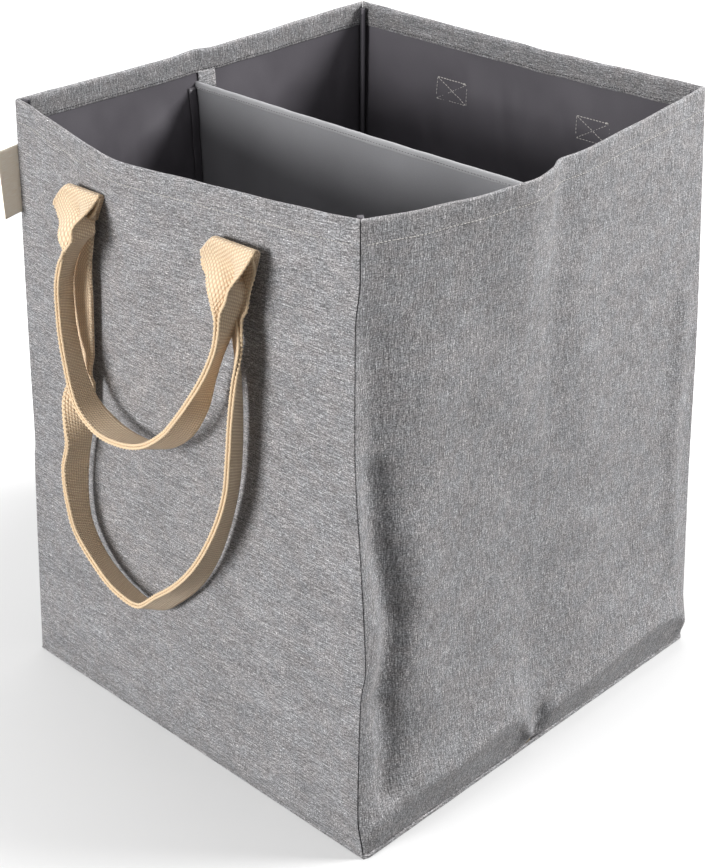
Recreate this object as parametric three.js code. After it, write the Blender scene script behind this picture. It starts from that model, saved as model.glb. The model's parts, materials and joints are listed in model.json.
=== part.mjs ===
// A soft laundry hamper with two bins, in millimetres, with +Z up. The origin is the centre of the base,
// on the floor. The front wall, which carries the handles that are seen first, looks along -Y. The divider
// runs along X.
import * as THREE from "three";

// Overall sizes of the bag, measured over its outer cloth.
const HEIGHT = 505;
const FLOOR_LENGTH = 400;
const FLOOR_DEPTH = 410;
const RIM_LENGTH = 366;
const RIM_DEPTH = 380;

// Thicknesses of the cloths and boards, and the gap that two layers keep.
const OUTER_CLOTH = 1;
const LINING_CLOTH = 0.8;
const DIVIDER_CLOTH = 1.6;
const BOARD_THICKNESS = 3;
const LAYER_GAP = 0.3;

// Hems, seams and small trim.
const HEM_HEIGHT = 20;
const DIVIDER_DROP = 30;
const DIVIDER_HEM_HEIGHT = 6;
const DIVIDER_HEM_THICKNESS = 3.2;
const SEAM_ALLOWANCE_WIDTH = 8;
const SEAM_GAP = 0.6;
const PATCH_WIDTH = 18;
const PATCH_HEIGHT = 9;
const BINDING_REACH = 6;
const BINDING_THICKNESS = 1.6;
const PIPING_WIDTH = 2;
const PIPING_HEIGHT = 3;
const TACK_WIDTH = 12;
const TACK_HEIGHT = 3;
const TACK_RISE = 4;
const LABEL_HEIGHT = 54;
const LABEL_REACH = 18;
const LABEL_THICKNESS = 0.6;
const LABEL_DROP = 36;

// Handles: cotton webbing that is folded along its middle, and sewn on with a box stitch.
const WEBBING_WIDTH = 50;
const WEBBING_THICKNESS = 1.8;
const HANDLE_SPACING = 154;
const HANDLE_FOLD_DROP = 40;
const HANDLE_END_LENGTH = 27;
const HANDLE_END_GAP = 0.5;
const SHORT_HANDLE_DROP = 181;
const LONG_HANDLE_DROP = 334;
const PLY_GAP = 0.5;
const BOX_STITCH_WIDTH = 35;
const BOX_STITCH_HEIGHT = 20;
const BOX_STITCH_DROP = 45;
const THREAD_WIDTH = 1.6;
const THREAD_THICKNESS = 0.6;

// How far the soft walls stand out of the straight shape at the rim, and how far the rim sags.
const FRONT_RIM_BULGE = 27.5;
const RIGHT_RIM_BULGE = 27;
const BACK_RIM_BULGE = 8;
const LEFT_RIM_BULGE = 13;
const FRONT_RIM_SAG = 5.5;
const RIGHT_RIM_SAG = 5;
const BACK_RIM_SAG = 5;
const LEFT_RIM_SAG = 7;
const FOOT_BULGE = 3;
const FOOT_BULGE_HEIGHT = 45;
const BOARD_PLAY = 2;
const RIGHT_WALL_DENT = 5;

// Shares of the height over which the rim's bulge and its sag die away downwards, as powers.
const BULGE_RISE_SHARE_POWER = 2.4;
const SAG_RISE_SHARE_POWER = 5;

// Shares of the rim's bulge at places along each wall, from -1 at its left end to 1 at its right end, seen
// from outside.
const FRONT_BULGE_SHARES = [
  [-1, 0],
  [-0.9, 0.06],
  [-0.76, 0.27],
  [-0.58, 0.49],
  [-0.36, 0.84],
  [-0.15, 1],
  [0.02, 0.86],
  [0.17, 0.67],
  [0.33, 0.57],
  [0.48, 0.43],
  [0.68, 0.27],
  [0.83, 0.16],
  [1, 0],
];
const RIGHT_BULGE_SHARES = [
  [-1, 0],
  [-0.75, 0.52],
  [-0.5, 0.85],
  [-0.25, 1],
  [-0.1, 0.78],
  [0, 0.48],
  [0.12, 0.52],
  [0.3, 0.42],
  [0.6, 0.22],
  [1, 0],
];
const EVEN_BULGE_SHARES = [
  [-1, 0],
  [-0.6, 0.66],
  [0, 1],
  [0.6, 0.66],
  [1, 0],
];
const DENT_ALONG_SHARES = [
  [-1, 0],
  [-0.92, 0.55],
  [-0.82, 1],
  [-0.62, 0.5],
  [-0.4, 0],
  [1, 0],
];
const DENT_UP_SHARES = [
  [0, 0],
  [0.12, 0.2],
  [0.4, 1],
  [0.66, 0.6],
  [0.85, 0],
  [1, 0],
];

// Shares of the height, and of a wall's half length, at which the walls' facets meet.
const ROW_SHARES = [0.04, 0.1, 0.2, 0.34, 0.48, 0.62, 0.75];
const HANDLE_WALL_COLUMN_SHARES = [0, 0.13, 0.76, 0.9];
const SIDE_WALL_COLUMN_SHARES = [0, 0.06, 0.16, 0.3, 0.48, 0.66, 0.84];
const LEAST_FACET_SHARE = 0.02;

// Depths of the layers, measured inwards from the outer face of a wall.
const liningDepth = OUTER_CLOTH + LAYER_GAP;
const liningInside = liningDepth + LINING_CLOTH;
const hemDepth = liningInside + LAYER_GAP;
const hemInside = hemDepth + OUTER_CLOTH;
const mitreInset = LAYER_GAP;

// Heights of the layers of the floor and of the top of the walls.
const wallBottom = OUTER_CLOTH + LAYER_GAP;
const boardTop = wallBottom + BOARD_THICKNESS;
const liningBaseBottom = boardTop + LAYER_GAP;
const liningBaseTop = liningBaseBottom + LINING_CLOTH;
const wallTop = HEIGHT - OUTER_CLOTH - LAYER_GAP;
const hemBottom = HEIGHT - HEM_HEIGHT;
const dividerTop = HEIGHT - DIVIDER_DROP;
const foldHeight = HEIGHT - HANDLE_FOLD_DROP;
const pipingBottom = OUTER_CLOTH / 2;
const pipingTop = pipingBottom + PIPING_HEIGHT;
const footHeight = pipingTop + LAYER_GAP;
const pliedWidth = WEBBING_WIDTH / 2;

const mix = THREE.MathUtils.lerp;

// A smooth value through a table of [place, share] rows, which rises and falls only where the table does.
function shareAt(table, place) {
  const last = table.length - 1;
  let k = 0;
  while (k < last - 1 && place > table[k + 1][0]) k += 1;
  const rise = (n) => (table[n + 1][1] - table[n][1]) / (table[n + 1][0] - table[n][0]);
  const slope = (n) => {
    if (n === 0) return rise(0);
    if (n === last) return rise(last - 1);
    const before = rise(n - 1);
    const after = rise(n);
    return before * after <= 0 ? 0 : (2 * before * after) / (before + after);
  };
  const step = table[k + 1][0] - table[k][0];
  const t = THREE.MathUtils.clamp((place - table[k][0]) / step, 0, 1);
  const s = t * t * (3 - 2 * t);
  const ease = t * (1 - t) * step;
  return mix(table[k][1], table[k + 1][1], s) + ease * ((1 - t) * slope(k) - t * slope(k + 1));
}

// Sorted places, without any that is too near the one before it.
function spread(places, least) {
  const sorted = [...places].sort((a, b) => a - b);
  return sorted.filter((place, k) => k === 0 || place - sorted[k - 1] >= least);
}

// The four walls. "along" runs to the right seen from outside, and "out" points away from the hamper.
const handleEdges = [-1, 1].map(
  (side) => (HANDLE_SPACING / 2 + side * (pliedWidth + THREAD_WIDTH)) / (RIM_LENGTH / 2),
);
const handleWallColumns = [...HANDLE_WALL_COLUMN_SHARES, ...handleEdges];
const walls = {
  front: {
    along: [1, 0],
    out: [0, -1],
    bulge: FRONT_RIM_BULGE,
    bulgeShares: FRONT_BULGE_SHARES,
    sag: FRONT_RIM_SAG,
    dent: 0,
    columns: handleWallColumns,
  },
  right: {
    along: [0, 1],
    out: [1, 0],
    bulge: RIGHT_RIM_BULGE,
    bulgeShares: RIGHT_BULGE_SHARES,
    sag: RIGHT_RIM_SAG,
    dent: RIGHT_WALL_DENT,
    columns: SIDE_WALL_COLUMN_SHARES,
  },
  back: {
    along: [-1, 0],
    out: [0, 1],
    bulge: BACK_RIM_BULGE,
    bulgeShares: EVEN_BULGE_SHARES,
    sag: BACK_RIM_SAG,
    dent: 0,
    columns: handleWallColumns,
  },
  left: {
    along: [0, -1],
    out: [-1, 0],
    bulge: LEFT_RIM_BULGE,
    bulgeShares: EVEN_BULGE_SHARES,
    sag: LEFT_RIM_SAG,
    dent: 0,
    columns: SIDE_WALL_COLUMN_SHARES,
  },
};

for (const wall of Object.values(walls)) {
  const runsAlongX = wall.along[0] !== 0;
  const length = (z) => mix(FLOOR_LENGTH, RIM_LENGTH, z / HEIGHT) / 2;
  const depth = (z) => mix(FLOOR_DEPTH, RIM_DEPTH, z / HEIGHT) / 2;
  [wall.half, wall.plane] = runsAlongX ? [length, depth] : [depth, length];
  const inner = spread([...wall.columns, ...wall.columns.map((c) => -c || 0)], LEAST_FACET_SHARE);
  wall.columnShares = [-1, ...inner.filter((c) => Math.abs(c) < 1 - LEAST_FACET_SHARE), 1];
}

// The rows of facets between two heights, which every layer of every wall shares.
const sharedRows = spread(
  [
    footHeight,
    ...ROW_SHARES.map((share) => share * HEIGHT),
    foldHeight - HANDLE_END_LENGTH - OUTER_CLOTH,
    foldHeight + OUTER_CLOTH,
    hemBottom,
  ],
  LEAST_FACET_SHARE * HEIGHT,
);
function rowsBetween(bottom, top) {
  const inside = sharedRows.filter((z) => z > bottom + LINING_CLOTH && z < top - LINING_CLOTH);
  return [bottom, ...inside, top];
}

// How far a wall's outer face stands from the hamper's axis, at a place along it and a height.
function standOut(wall, place, z) {
  const share = THREE.MathUtils.clamp(place / wall.half(z), -1, 1);
  const up = z / HEIGHT;
  const atRim = wall.bulge * shareAt(wall.bulgeShares, share) * up ** BULGE_RISE_SHARE_POWER;
  const aboveFoot = Math.max(z - footHeight, 0) / FOOT_BULGE_HEIGHT;
  const footShare = aboveFoot * Math.exp(1 - aboveFoot);
  const atFoot = FOOT_BULGE * footShare * (1 - share ** 4);
  const dent = wall.dent * shareAt(DENT_ALONG_SHARES, share) * shareAt(DENT_UP_SHARES, up);
  return wall.plane(z) + atRim + atFoot - dent;
}

function rimSag(wall, place, z) {
  const share = THREE.MathUtils.clamp(place / wall.half(z), -1, 1);
  return wall.sag * (1 - share * share) * (z / HEIGHT) ** SAG_RISE_SHARE_POWER;
}

function toWorld(wall, place, out, z) {
  return new THREE.Vector3(
    wall.along[0] * place + wall.out[0] * out,
    wall.along[1] * place + wall.out[1] * out,
    z,
  );
}

// A grid point of a wall's layer. The ends are mitred, so that two walls meet along the corner's diagonal.
function gridPoint(wall, columnShare, z, depth) {
  const end = wall.half(z) - depth - mitreInset;
  const place = Math.abs(columnShare) === 1 ? columnShare * end : columnShare * wall.half(z);
  return toWorld(wall, place, standOut(wall, place, z) - depth, z - rimSag(wall, place, z));
}

// A point on the facets of a wall, for the pieces that lie on it.
function facetPoint(wall, place, z, depth) {
  const rows = [wallBottom, ...sharedRows, HEIGHT];
  let j = 0;
  while (j < rows.length - 2 && z > rows[j + 1]) j += 1;
  const q = (z - rows[j]) / (rows[j + 1] - rows[j]);
  const shares = wall.columnShares;
  const share = place / wall.half(z);
  let i = 0;
  while (i < shares.length - 2 && share > shares[i + 1]) i += 1;
  const p = (share - shares[i]) / (shares[i + 1] - shares[i]);
  const corner = (a, b) => gridPoint(wall, shares[i + a], rows[j + b], depth);
  const [from, across, up, far] = [corner(0, 0), corner(1, 0), corner(0, 1), corner(1, 1)];
  const point = from.clone();
  if (q > p) {
    point.addScaledVector(far.clone().sub(up), p);
    point.addScaledVector(up.clone().sub(from), q);
  } else {
    point.addScaledVector(across.clone().sub(from), p);
    point.addScaledVector(far.clone().sub(across), q);
  }
  return point;
}

// A closed mesh from points and triangles, turned so that its faces look outwards.
function closedMesh(points, triangles) {
  let volume = 0;
  for (const [a, b, c] of triangles) volume += points[a].dot(points[b].clone().cross(points[c]));
  const facing = volume < 0 ? triangles.map(([a, b, c]) => [a, c, b]) : triangles;
  const geometry = new THREE.BufferGeometry().setFromPoints(points);
  geometry.setIndex(facing.flat());
  geometry.computeVertexNormals();
  return geometry;
}

// A thin slab over a grid. Both faces split each cell along the same diagonal, so stacked layers stay
// parallel.
function slab(columns, rows, pointAt) {
  const points = [];
  for (let side = 0; side < 2; side += 1)
    for (let i = 0; i < columns; i += 1) for (let j = 0; j < rows; j += 1) points.push(pointAt(i, j, side));
  const at = (side, i, j) => (side * columns + i) * rows + j;
  const triangles = [];
  for (let i = 0; i < columns - 1; i += 1)
    for (let j = 0; j < rows - 1; j += 1)
      for (let side = 0; side < 2; side += 1) {
        const [a, b] = [at(side, i, j), at(side, i + 1, j)];
        const [c, d] = [at(side, i + 1, j + 1), at(side, i, j + 1)];
        triangles.push(...(side ? [[a, b, c], [a, c, d]] : [[a, c, b], [a, d, c]]));
      }
  const border = [];
  for (let i = 0; i < columns - 1; i += 1) border.push([i, 0]);
  for (let j = 0; j < rows - 1; j += 1) border.push([columns - 1, j]);
  for (let i = columns - 1; i > 0; i -= 1) border.push([i, rows - 1]);
  for (let j = rows - 1; j > 0; j -= 1) border.push([0, j]);
  border.forEach(([i, j], k) => {
    const [m, n] = border[(k + 1) % border.length];
    const [a, b, c, d] = [at(0, i, j), at(0, m, n), at(1, m, n), at(1, i, j)];
    triangles.push([a, b, c], [a, c, d]);
  });
  return closedMesh(points, triangles);
}

// A solid through rings of points. Each ring's first point sees all the others, so the end caps are fans
// from it. The cells of the mirrored sides are split along the other diagonal, so that a thin twisted ply
// keeps its thickness.
function loft(rings, closed = false, mirroredSides = []) {
  const count = rings[0].length;
  const points = rings.flat();
  const triangles = [];
  const spans = closed ? rings.length : rings.length - 1;
  for (let k = 0; k < spans; k += 1) {
    const next = (k + 1) % rings.length;
    for (let i = 0; i < count; i += 1) {
      const j = (i + 1) % count;
      const [a, b, c, d] = [k * count + i, k * count + j, next * count + j, next * count + i];
      triangles.push(...(mirroredSides.includes(i) ? [[a, b, d], [b, c, d]] : [[a, b, c], [a, c, d]]));
    }
  }
  const lastRing = (rings.length - 1) * count;
  for (let i = 1; i < count - 1 && !closed; i += 1) {
    triangles.push([0, i + 1, i], [lastRing, lastRing + i, lastRing + i + 1]);
  }
  return closedMesh(points, triangles);
}

const fabric = (color, roughness) =>
  new THREE.MeshStandardMaterial({ color, roughness, metalness: 0, flatShading: true });

const finishes = {
  outer: fabric(0x8b8c90, 0.95),
  lining: fabric(0x55535a, 0.6),
  divider: fabric(0x74767a, 0.55),
  binding: fabric(0x2c2b2f, 0.9),
  webbing: fabric(0xd2b78c, 0.9),
  thread: fabric(0xd9c8a4, 0.8),
  label: fabric(0xcfc3ab, 0.85),
  board: fabric(0x3b3b3e, 0.9),
};

const hamper = new THREE.Group();
function add(name, geometry, finish) {
  const mesh = new THREE.Mesh(geometry, finishes[finish]);
  mesh.name = name;
  hamper.add(mesh);
  return mesh;
}

// One layer of cloth of a wall, between two depths and two heights.
function wallLayer(wall, nearDepth, farDepth, bottom, top) {
  const rows = rowsBetween(bottom, top);
  const depths = [nearDepth, farDepth];
  return slab(wall.columnShares.length, rows.length, (i, j, side) =>
    gridPoint(wall, wall.columnShares[i], rows[j], depths[side]),
  );
}

// The outer cloth turned in over the rim: a cap over the two layers, and a band down the inside.
function rimHem(wall) {
  const capBottom = HEIGHT - OUTER_CLOTH;
  const section = [
    [hemDepth, capBottom],
    [0, capBottom],
    [0, HEIGHT],
    [hemInside, HEIGHT],
    [hemInside, hemBottom],
    [hemDepth, hemBottom],
  ];
  const ring = (share) => section.map(([depth, z]) => gridPoint(wall, share, z, depth));
  return loft(wall.columnShares.map(ring));
}

for (const [side, wall] of Object.entries(walls)) {
  add(`outer_wall_${side}`, wallLayer(wall, 0, OUTER_CLOTH, wallBottom, wallTop), "outer");
  add(`lining_${side}`, wallLayer(wall, liningDepth, liningInside, wallBottom, wallTop), "lining");
  add(`rim_hem_${side}`, rimHem(wall), "outer");
}

// A flat rectangle of cloth or board, from its lowest to its highest corner.
function flatPiece(low, high) {
  const size = high.clone().sub(low);
  const geometry = new THREE.BoxGeometry(size.x, size.y, size.z);
  geometry.translate((low.x + high.x) / 2, (low.y + high.y) / 2, (low.z + high.z) / 2);
  return geometry;
}

add(
  "outer_base",
  flatPiece(
    new THREE.Vector3(-FLOOR_LENGTH / 2, -FLOOR_DEPTH / 2, 0),
    new THREE.Vector3(FLOOR_LENGTH / 2, FLOOR_DEPTH / 2, OUTER_CLOTH),
  ),
  "outer",
);

// Each bin's half of the floor: a stiff board between the outer base and the lining's base.
for (const [bin, side] of [
  ["front_bin", -1],
  ["back_bin", 1],
]) {
  const half = (inset, play, bottom, top) => {
    const x = walls.front.half(top) - inset - play;
    const far = side * (walls.front.plane(top) - inset - play);
    const near = (side * (LAYER_GAP + play)) / 2;
    return flatPiece(
      new THREE.Vector3(-x, Math.min(near, far), bottom),
      new THREE.Vector3(x, Math.max(near, far), top),
    );
  };
  add(`base_board_${bin}`, half(liningInside + LAYER_GAP, BOARD_PLAY, wallBottom, boardTop), "board");
  add(`lining_base_${bin}`, half(liningInside + LAYER_GAP, 0, liningBaseBottom, liningBaseTop), "lining");
}

// The divider: one panel across the middle, whose ends follow the lining of the side walls.
const dividerHemBottom = dividerTop - DIVIDER_HEM_HEIGHT;
const dividerBottom = liningBaseTop + LAYER_GAP;
function dividerRing(z, thickness) {
  const left = gridPoint(walls.left, 0, z, liningInside + LAYER_GAP);
  const right = gridPoint(walls.right, 0, z, liningInside + LAYER_GAP);
  const y = thickness / 2;
  return [
    new THREE.Vector3(left.x, -y, z),
    new THREE.Vector3(right.x, -y, z),
    new THREE.Vector3(right.x, y, z),
    new THREE.Vector3(left.x, y, z),
  ];
}
const dividerRows = rowsBetween(dividerBottom, dividerHemBottom - LAYER_GAP);
add("divider_panel", loft(dividerRows.map((z) => dividerRing(z, DIVIDER_CLOTH))), "divider");
add(
  "divider_top_hem",
  loft([dividerHemBottom, dividerTop].map((z) => dividerRing(z, DIVIDER_HEM_THICKNESS))),
  "divider",
);

// The seam allowance of the divider, turned forwards and flat against the lining, and the patch behind its
// top.
for (const [side, forwards] of [
  ["left", 1],
  ["right", -1],
]) {
  const wall = walls[side];
  const near = DIVIDER_HEM_THICKNESS / 2 + LAYER_GAP;
  const onLining = (from, to, bottom, top) => {
    const rows = rowsBetween(bottom, top);
    const places = [from, to];
    return slab(places.length, rows.length, (i, j, face) =>
      facetPoint(wall, places[i], rows[j], liningInside + SEAM_GAP + face * LINING_CLOTH),
    );
  };
  const seamTop = dividerTop - DIVIDER_HEM_HEIGHT;
  add(
    `divider_seam_${side}`,
    onLining(forwards * near, forwards * (near + SEAM_ALLOWANCE_WIDTH), dividerBottom, seamTop),
    "binding",
  );
  const patchTop = hemBottom - SEAM_GAP;
  add(
    `divider_patch_${side}`,
    onLining(-forwards * near, -forwards * (near + PATCH_WIDTH), patchTop - PATCH_HEIGHT, patchTop),
    "outer",
  );
  const tackPlace = forwards * (SEAM_ALLOWANCE_WIDTH + TACK_WIDTH / 2);
  const tackEdges = [tackPlace - TACK_WIDTH / 2, tackPlace + TACK_WIDTH / 2];
  const tackRows = [TACK_RISE, TACK_RISE + TACK_HEIGHT];
  const tackDepths = [-LAYER_GAP - THREAD_THICKNESS, -LAYER_GAP];
  add(
    `divider_foot_tack_${side}`,
    slab(2, 2, (i, j, face) => facetPoint(wall, tackEdges[i], tackRows[j], tackDepths[face])),
    "thread",
  );
}

// The bound seam that stands inwards in each corner, from the lining's base to the rim.
for (const [name, sideX, sideY] of [
  ["front_left", -1, -1],
  ["front_right", 1, -1],
  ["back_right", 1, 1],
  ["back_left", -1, 1],
]) {
  const halfAcross = BINDING_THICKNESS / 2 / Math.SQRT2;
  const start = hemInside + LAYER_GAP + halfAcross;
  const end = start + BINDING_REACH / Math.SQRT2;
  const ring = (z) => {
    const x = walls.front.half(z);
    const y = walls.front.plane(z);
    const corner = (depth, across) =>
      new THREE.Vector3(sideX * (x - depth - across), sideY * (y - depth + across), z);
    return [
      [start, -halfAcross],
      [start, halfAcross],
      [end, halfAcross],
      [end, -halfAcross],
    ].map(([depth, across]) => corner(depth, across));
  };
  add(`corner_binding_${name}`, loft([ring(dividerBottom), ring(HEIGHT - OUTER_CLOTH)]), "binding");
}

// The seam of the base, piped all round the foot of the walls.
const pipingNear = LAYER_GAP;
const pipingFar = pipingNear + PIPING_WIDTH;
const pipingRing = ([sideX, sideY]) => {
  const corner = (out, z) =>
    new THREE.Vector3(sideX * (FLOOR_LENGTH / 2 + out), sideY * (FLOOR_DEPTH / 2 + out), z);
  return [
    corner(pipingNear, pipingBottom),
    corner(pipingFar, pipingBottom),
    corner(pipingFar, pipingTop),
    corner(pipingNear, pipingTop),
  ];
};
add(
  "base_seam_piping",
  loft(
    [
      [-1, -1],
      [1, -1],
      [1, 1],
      [-1, 1],
    ].map(pipingRing),
    true,
  ),
  "outer",
);

// A blank label, caught in the seam of the front left corner and standing forwards.
const labelTop = HEIGHT - LABEL_DROP;
const labelRows = [labelTop - LABEL_HEIGHT, labelTop - LABEL_HEIGHT / 2, labelTop];
add(
  "side_label",
  loft(
    labelRows.map((z) => {
      const x = -walls.front.half(z) + LABEL_THICKNESS;
      const corner = walls.front.plane(z) + LAYER_GAP + LABEL_THICKNESS;
      return [
        new THREE.Vector3(x, -corner, z),
        new THREE.Vector3(x + LABEL_THICKNESS, -corner, z),
        new THREE.Vector3(x + LABEL_THICKNESS, -corner - LABEL_REACH, z),
        new THREE.Vector3(x, -corner - LABEL_REACH, z),
      ];
    }),
  ),
  "label",
);

// A loop's stations, from its left end to its right end. Each holds, in this order: along the wall, as a
// share of half the handle's spacing; down, as a share of the loop's drop; out from the wall, beyond the
// sewn ends, as a share of the folded webbing's width; how far the ply outside the loop has folded up from
// the wall, and how far the ply inside it has, as shares of half a turn; and how far the crease lies from
// the webbing's middle towards the inside of the loop, as a share of half its width.
const SHORT_LOOP_SHARES = [
  [-1, 0, 0.012, 0, 0, 0],
  [-0.92, 0.06, 0.16, 0.36, 0.12, 0],
  [-0.94, 0.13, 0.27, 0.58, 0.3, 0],
  [-1.04, 0.22, 0.3, 0.61, 0.39, 0],
  [-1.18, 0.37, 0.3, 0.64, 0.36, 0],
  [-1.31, 0.55, 0.3, 0.65, 0.35, 0],
  [-1.32, 0.7, 0.3, 0.64, 0.36, 0],
  [-1.22, 0.82, 0.3, 0.62, 0.38, 0],
  [-0.98, 0.92, 0.3, 0.58, 0.42, 0],
  [-0.62, 0.98, 0.28, 0.53, 0.47, 0],
  [-0.25, 1, 0.28, 0.56, 0.44, 0],
  [0.08, 0.985, 0.28, 0.61, 0.39, 0],
  [0.42, 0.88, 0.28, 0.62, 0.38, 0],
  [0.72, 0.72, 0.28, 0.56, 0.44, 0],
  [0.94, 0.56, 0.28, 0.43, 0.57, 0],
  [1.06, 0.4, 0.3, 0.38, 0.62, 0],
  [1.07, 0.27, 0.3, 0.38, 0.6, 0],
  [1.04, 0.15, 0.3, 0.24, 0.5, 0],
  [1, 0.06, 0.12, 0.06, 0.2, 0],
  [1, 0, 0.012, 0, 0, 0],
];
const LONG_LOOP_SHARES = [
  [-0.708, 0, 0.012, 0, 0, 0.9],
  [-0.73, 0.03, 0.012, 0, 0.4, 0.8],
  [-0.755, 0.047, 0.012, 0, 0.7, 0.72],
  [-0.79, 0.065, 0.012, 0, 0.96, 0.62],
  [-0.88, 0.11, 0.012, 0, 1, 0.34],
  [-1, 0.165, 0.012, 0, 1, 0],
  [-1.06, 0.25, 0, 0, 1, 0],
  [-1.14, 0.37, 0, 0, 1, 0],
  [-1.21, 0.49, 0, 0, 1, 0],
  [-1.22, 0.52, 0.01, 0.14, 0.86, 0],
  [-1.23, 0.55, 0.02, 0.3, 0.7, 0],
  [-1.28, 0.61, 0.04, 0.48, 0.52, 0],
  [-1.37, 0.71, 0.04, 0.49, 0.51, 0],
  [-1.41, 0.79, 0.04, 0.56, 0.44, 0],
  [-1.37, 0.88, 0.04, 0.62, 0.38, 0],
  [-1.12, 0.955, 0.04, 0.66, 0.34, 0],
  [-0.72, 1, 0.04, 0.64, 0.36, 0],
  [-0.25, 1.01, 0.04, 0.65, 0.35, 0],
  [0.1, 0.95, 0.04, 0.66, 0.34, 0],
  [0.42, 0.87, 0.04, 0.6, 0.4, 0],
  [0.7, 0.76, 0.04, 0.5, 0.5, 0],
  [0.88, 0.65, 0.04, 0.42, 0.58, 0],
  [1, 0.54, 0.04, 0.37, 0.63, 0],
  [1.05, 0.45, 0.05, 0.36, 0.64, 0],
  [1.07, 0.37, 0.05, 0.34, 0.66, 0],
  [1.07, 0.27, 0.05, 0.27, 0.73, 0],
  [1.03, 0.19, 0.04, 0.16, 0.84, 0],
  [0.93, 0.13, 0.03, 0.08, 0.92, 0.25],
  [0.82, 0.07, 0.02, 0.03, 0.93, 0.55],
  [0.775, 0.05, 0.015, 0.01, 0.7, 0.68],
  [0.74, 0.03, 0.012, 0, 0.4, 0.78],
  [0.708, 0, 0.012, 0, 0, 0.9],
];

// The line about which a wall's handles fold: just outside the sewn ends, at every edge of the webbing.
const layerPitch = WEBBING_THICKNESS + LAYER_GAP;
const sewnStack = HANDLE_END_GAP + 2 * layerPitch;
function foldLine(wall) {
  const outAt = (place, z) => {
    const point = facetPoint(wall, place, z, -sewnStack);
    return point.x * wall.out[0] + point.y * wall.out[1];
  };
  const centres = [-1, 1].map((side) => (side * HANDLE_SPACING) / 2);
  const edges = centres.flatMap((centre) => [centre - pliedWidth, centre, centre + pliedWidth]);
  const [from, to] = centres.map((place) => outAt(place, foldHeight));
  const lineAt = (place) => mix(from, to, place / HANDLE_SPACING + 1 / 2);
  const clear = Math.max(...edges.map((place) => outAt(place, foldHeight) - lineAt(place)));
  const pointAt = (place) => toWorld(wall, place, lineAt(place) + clear, foldHeight);
  const along = pointAt(HANDLE_SPACING).sub(pointAt(0)).normalize();
  const up = new THREE.Vector3(0, 0, 1);
  return { along, up, out: along.clone().cross(up), pointAt, outAt };
}

// The spine of a hanging loop of webbing, through its stations. Below the fold it follows the wall.
function loopSpine(wall, fold, shares, drop, layer) {
  return shares.map(([along, down, out, outer, inner]) => {
    const place = (along * HANDLE_SPACING) / 2;
    const z = foldHeight - down * drop;
    const away = out * pliedWidth + layer * layerPitch;
    if (down === 0) return fold.pointAt(place).addScaledVector(fold.out, away);
    const reach = (1 - 2 * Math.min(outer, inner)) * pliedWidth;
    const wallOut = Math.max(...[place - reach, place, place + reach].map((at) => fold.outAt(at, z)));
    return toWorld(wall, place, wallOut + away, z);
  });
}

// The section of webbing that is creased lengthwise. The crease lies towards the wall, and each ply folds up
// from it.
function webbingRing(spine, out, intoLoop, [outer, inner, crease]) {
  const shortest = Math.max((1 - crease) * pliedWidth, WEBBING_THICKNESS + PLY_GAP);
  const widths = [WEBBING_WIDTH - shortest, shortest];
  const halfTurn = Math.PI - 2 * Math.asin((WEBBING_THICKNESS + PLY_GAP / 2) / shortest);
  const [a, b] = [outer * halfTurn, inner * halfTurn];
  const direction = (into, away) => intoLoop.clone().multiplyScalar(into).addScaledVector(out, away);
  const plies = [direction(-Math.cos(a), Math.sin(a)), direction(Math.cos(b), Math.sin(b))];
  const faces = [direction(Math.sin(a), Math.cos(a)), direction(-Math.sin(b), Math.cos(b))];
  const tip = (side, thickness) =>
    spine.clone().addScaledVector(plies[side], widths[side]).addScaledVector(faces[side], thickness);
  const between = faces[0].clone().add(faces[1]);
  const insideReach = WEBBING_THICKNESS / (1 + faces[0].dot(faces[1]));
  const insideSpine = spine.clone().addScaledVector(between, insideReach);
  return [spine, tip(0, 0), tip(0, WEBBING_THICKNESS), insideSpine, tip(1, WEBBING_THICKNESS), tip(1, 0)];
}

// The sides of a webbing ring whose cells are split the other way, so that all faces of both plies twist
// alike.
const mirroredPlySides = [2, 5];

// A hanging loop of webbing.
function loopOfWebbing(wall, fold, shares, drop, layer) {
  const spines = loopSpine(wall, fold, shares, drop, layer);
  const last = spines.length - 1;
  return loft(
    shares.map(([, , , outer, inner, crease], k) => {
      const way = spines[Math.min(k + 1, last)].clone().sub(spines[Math.max(k - 1, 0)]);
      way.addScaledVector(fold.out, -way.dot(fold.out)).normalize();
      const upright = fold.up.clone().multiplyScalar(Math.sign(way.dot(fold.up)));
      if (k === 0 || k === last || crease > 0) way.copy(upright);
      const intoLoop = fold.out.clone().cross(way);
      return webbingRing(spines[k], fold.out, intoLoop, [outer, inner, crease]);
    }),
    false,
    mirroredPlySides,
  );
}

// The end of a handle's webbing, sewn flat on the wall below the fold. The short handle's end lies under the
// long one's.
function sewnEnd(wall, fold, side, layer) {
  const centre = (side * HANDLE_SPACING) / 2;
  const places = [centre - pliedWidth, centre, centre + pliedWidth];
  const bottom = foldHeight - HANDLE_END_LENGTH;
  const overWall = HANDLE_END_GAP + layer * layerPitch;
  const behindFold = sewnStack - overWall;
  return slab(places.length, 2, (i, j, face) => {
    const thickness = face * WEBBING_THICKNESS;
    if (j === 0) return facetPoint(wall, places[i], bottom, -overWall - thickness);
    const onFold = fold.pointAt(places[i]).addScaledVector(fold.up, -LAYER_GAP);
    return onFold.addScaledVector(fold.out, thickness - behindFold);
  });
}

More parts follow.
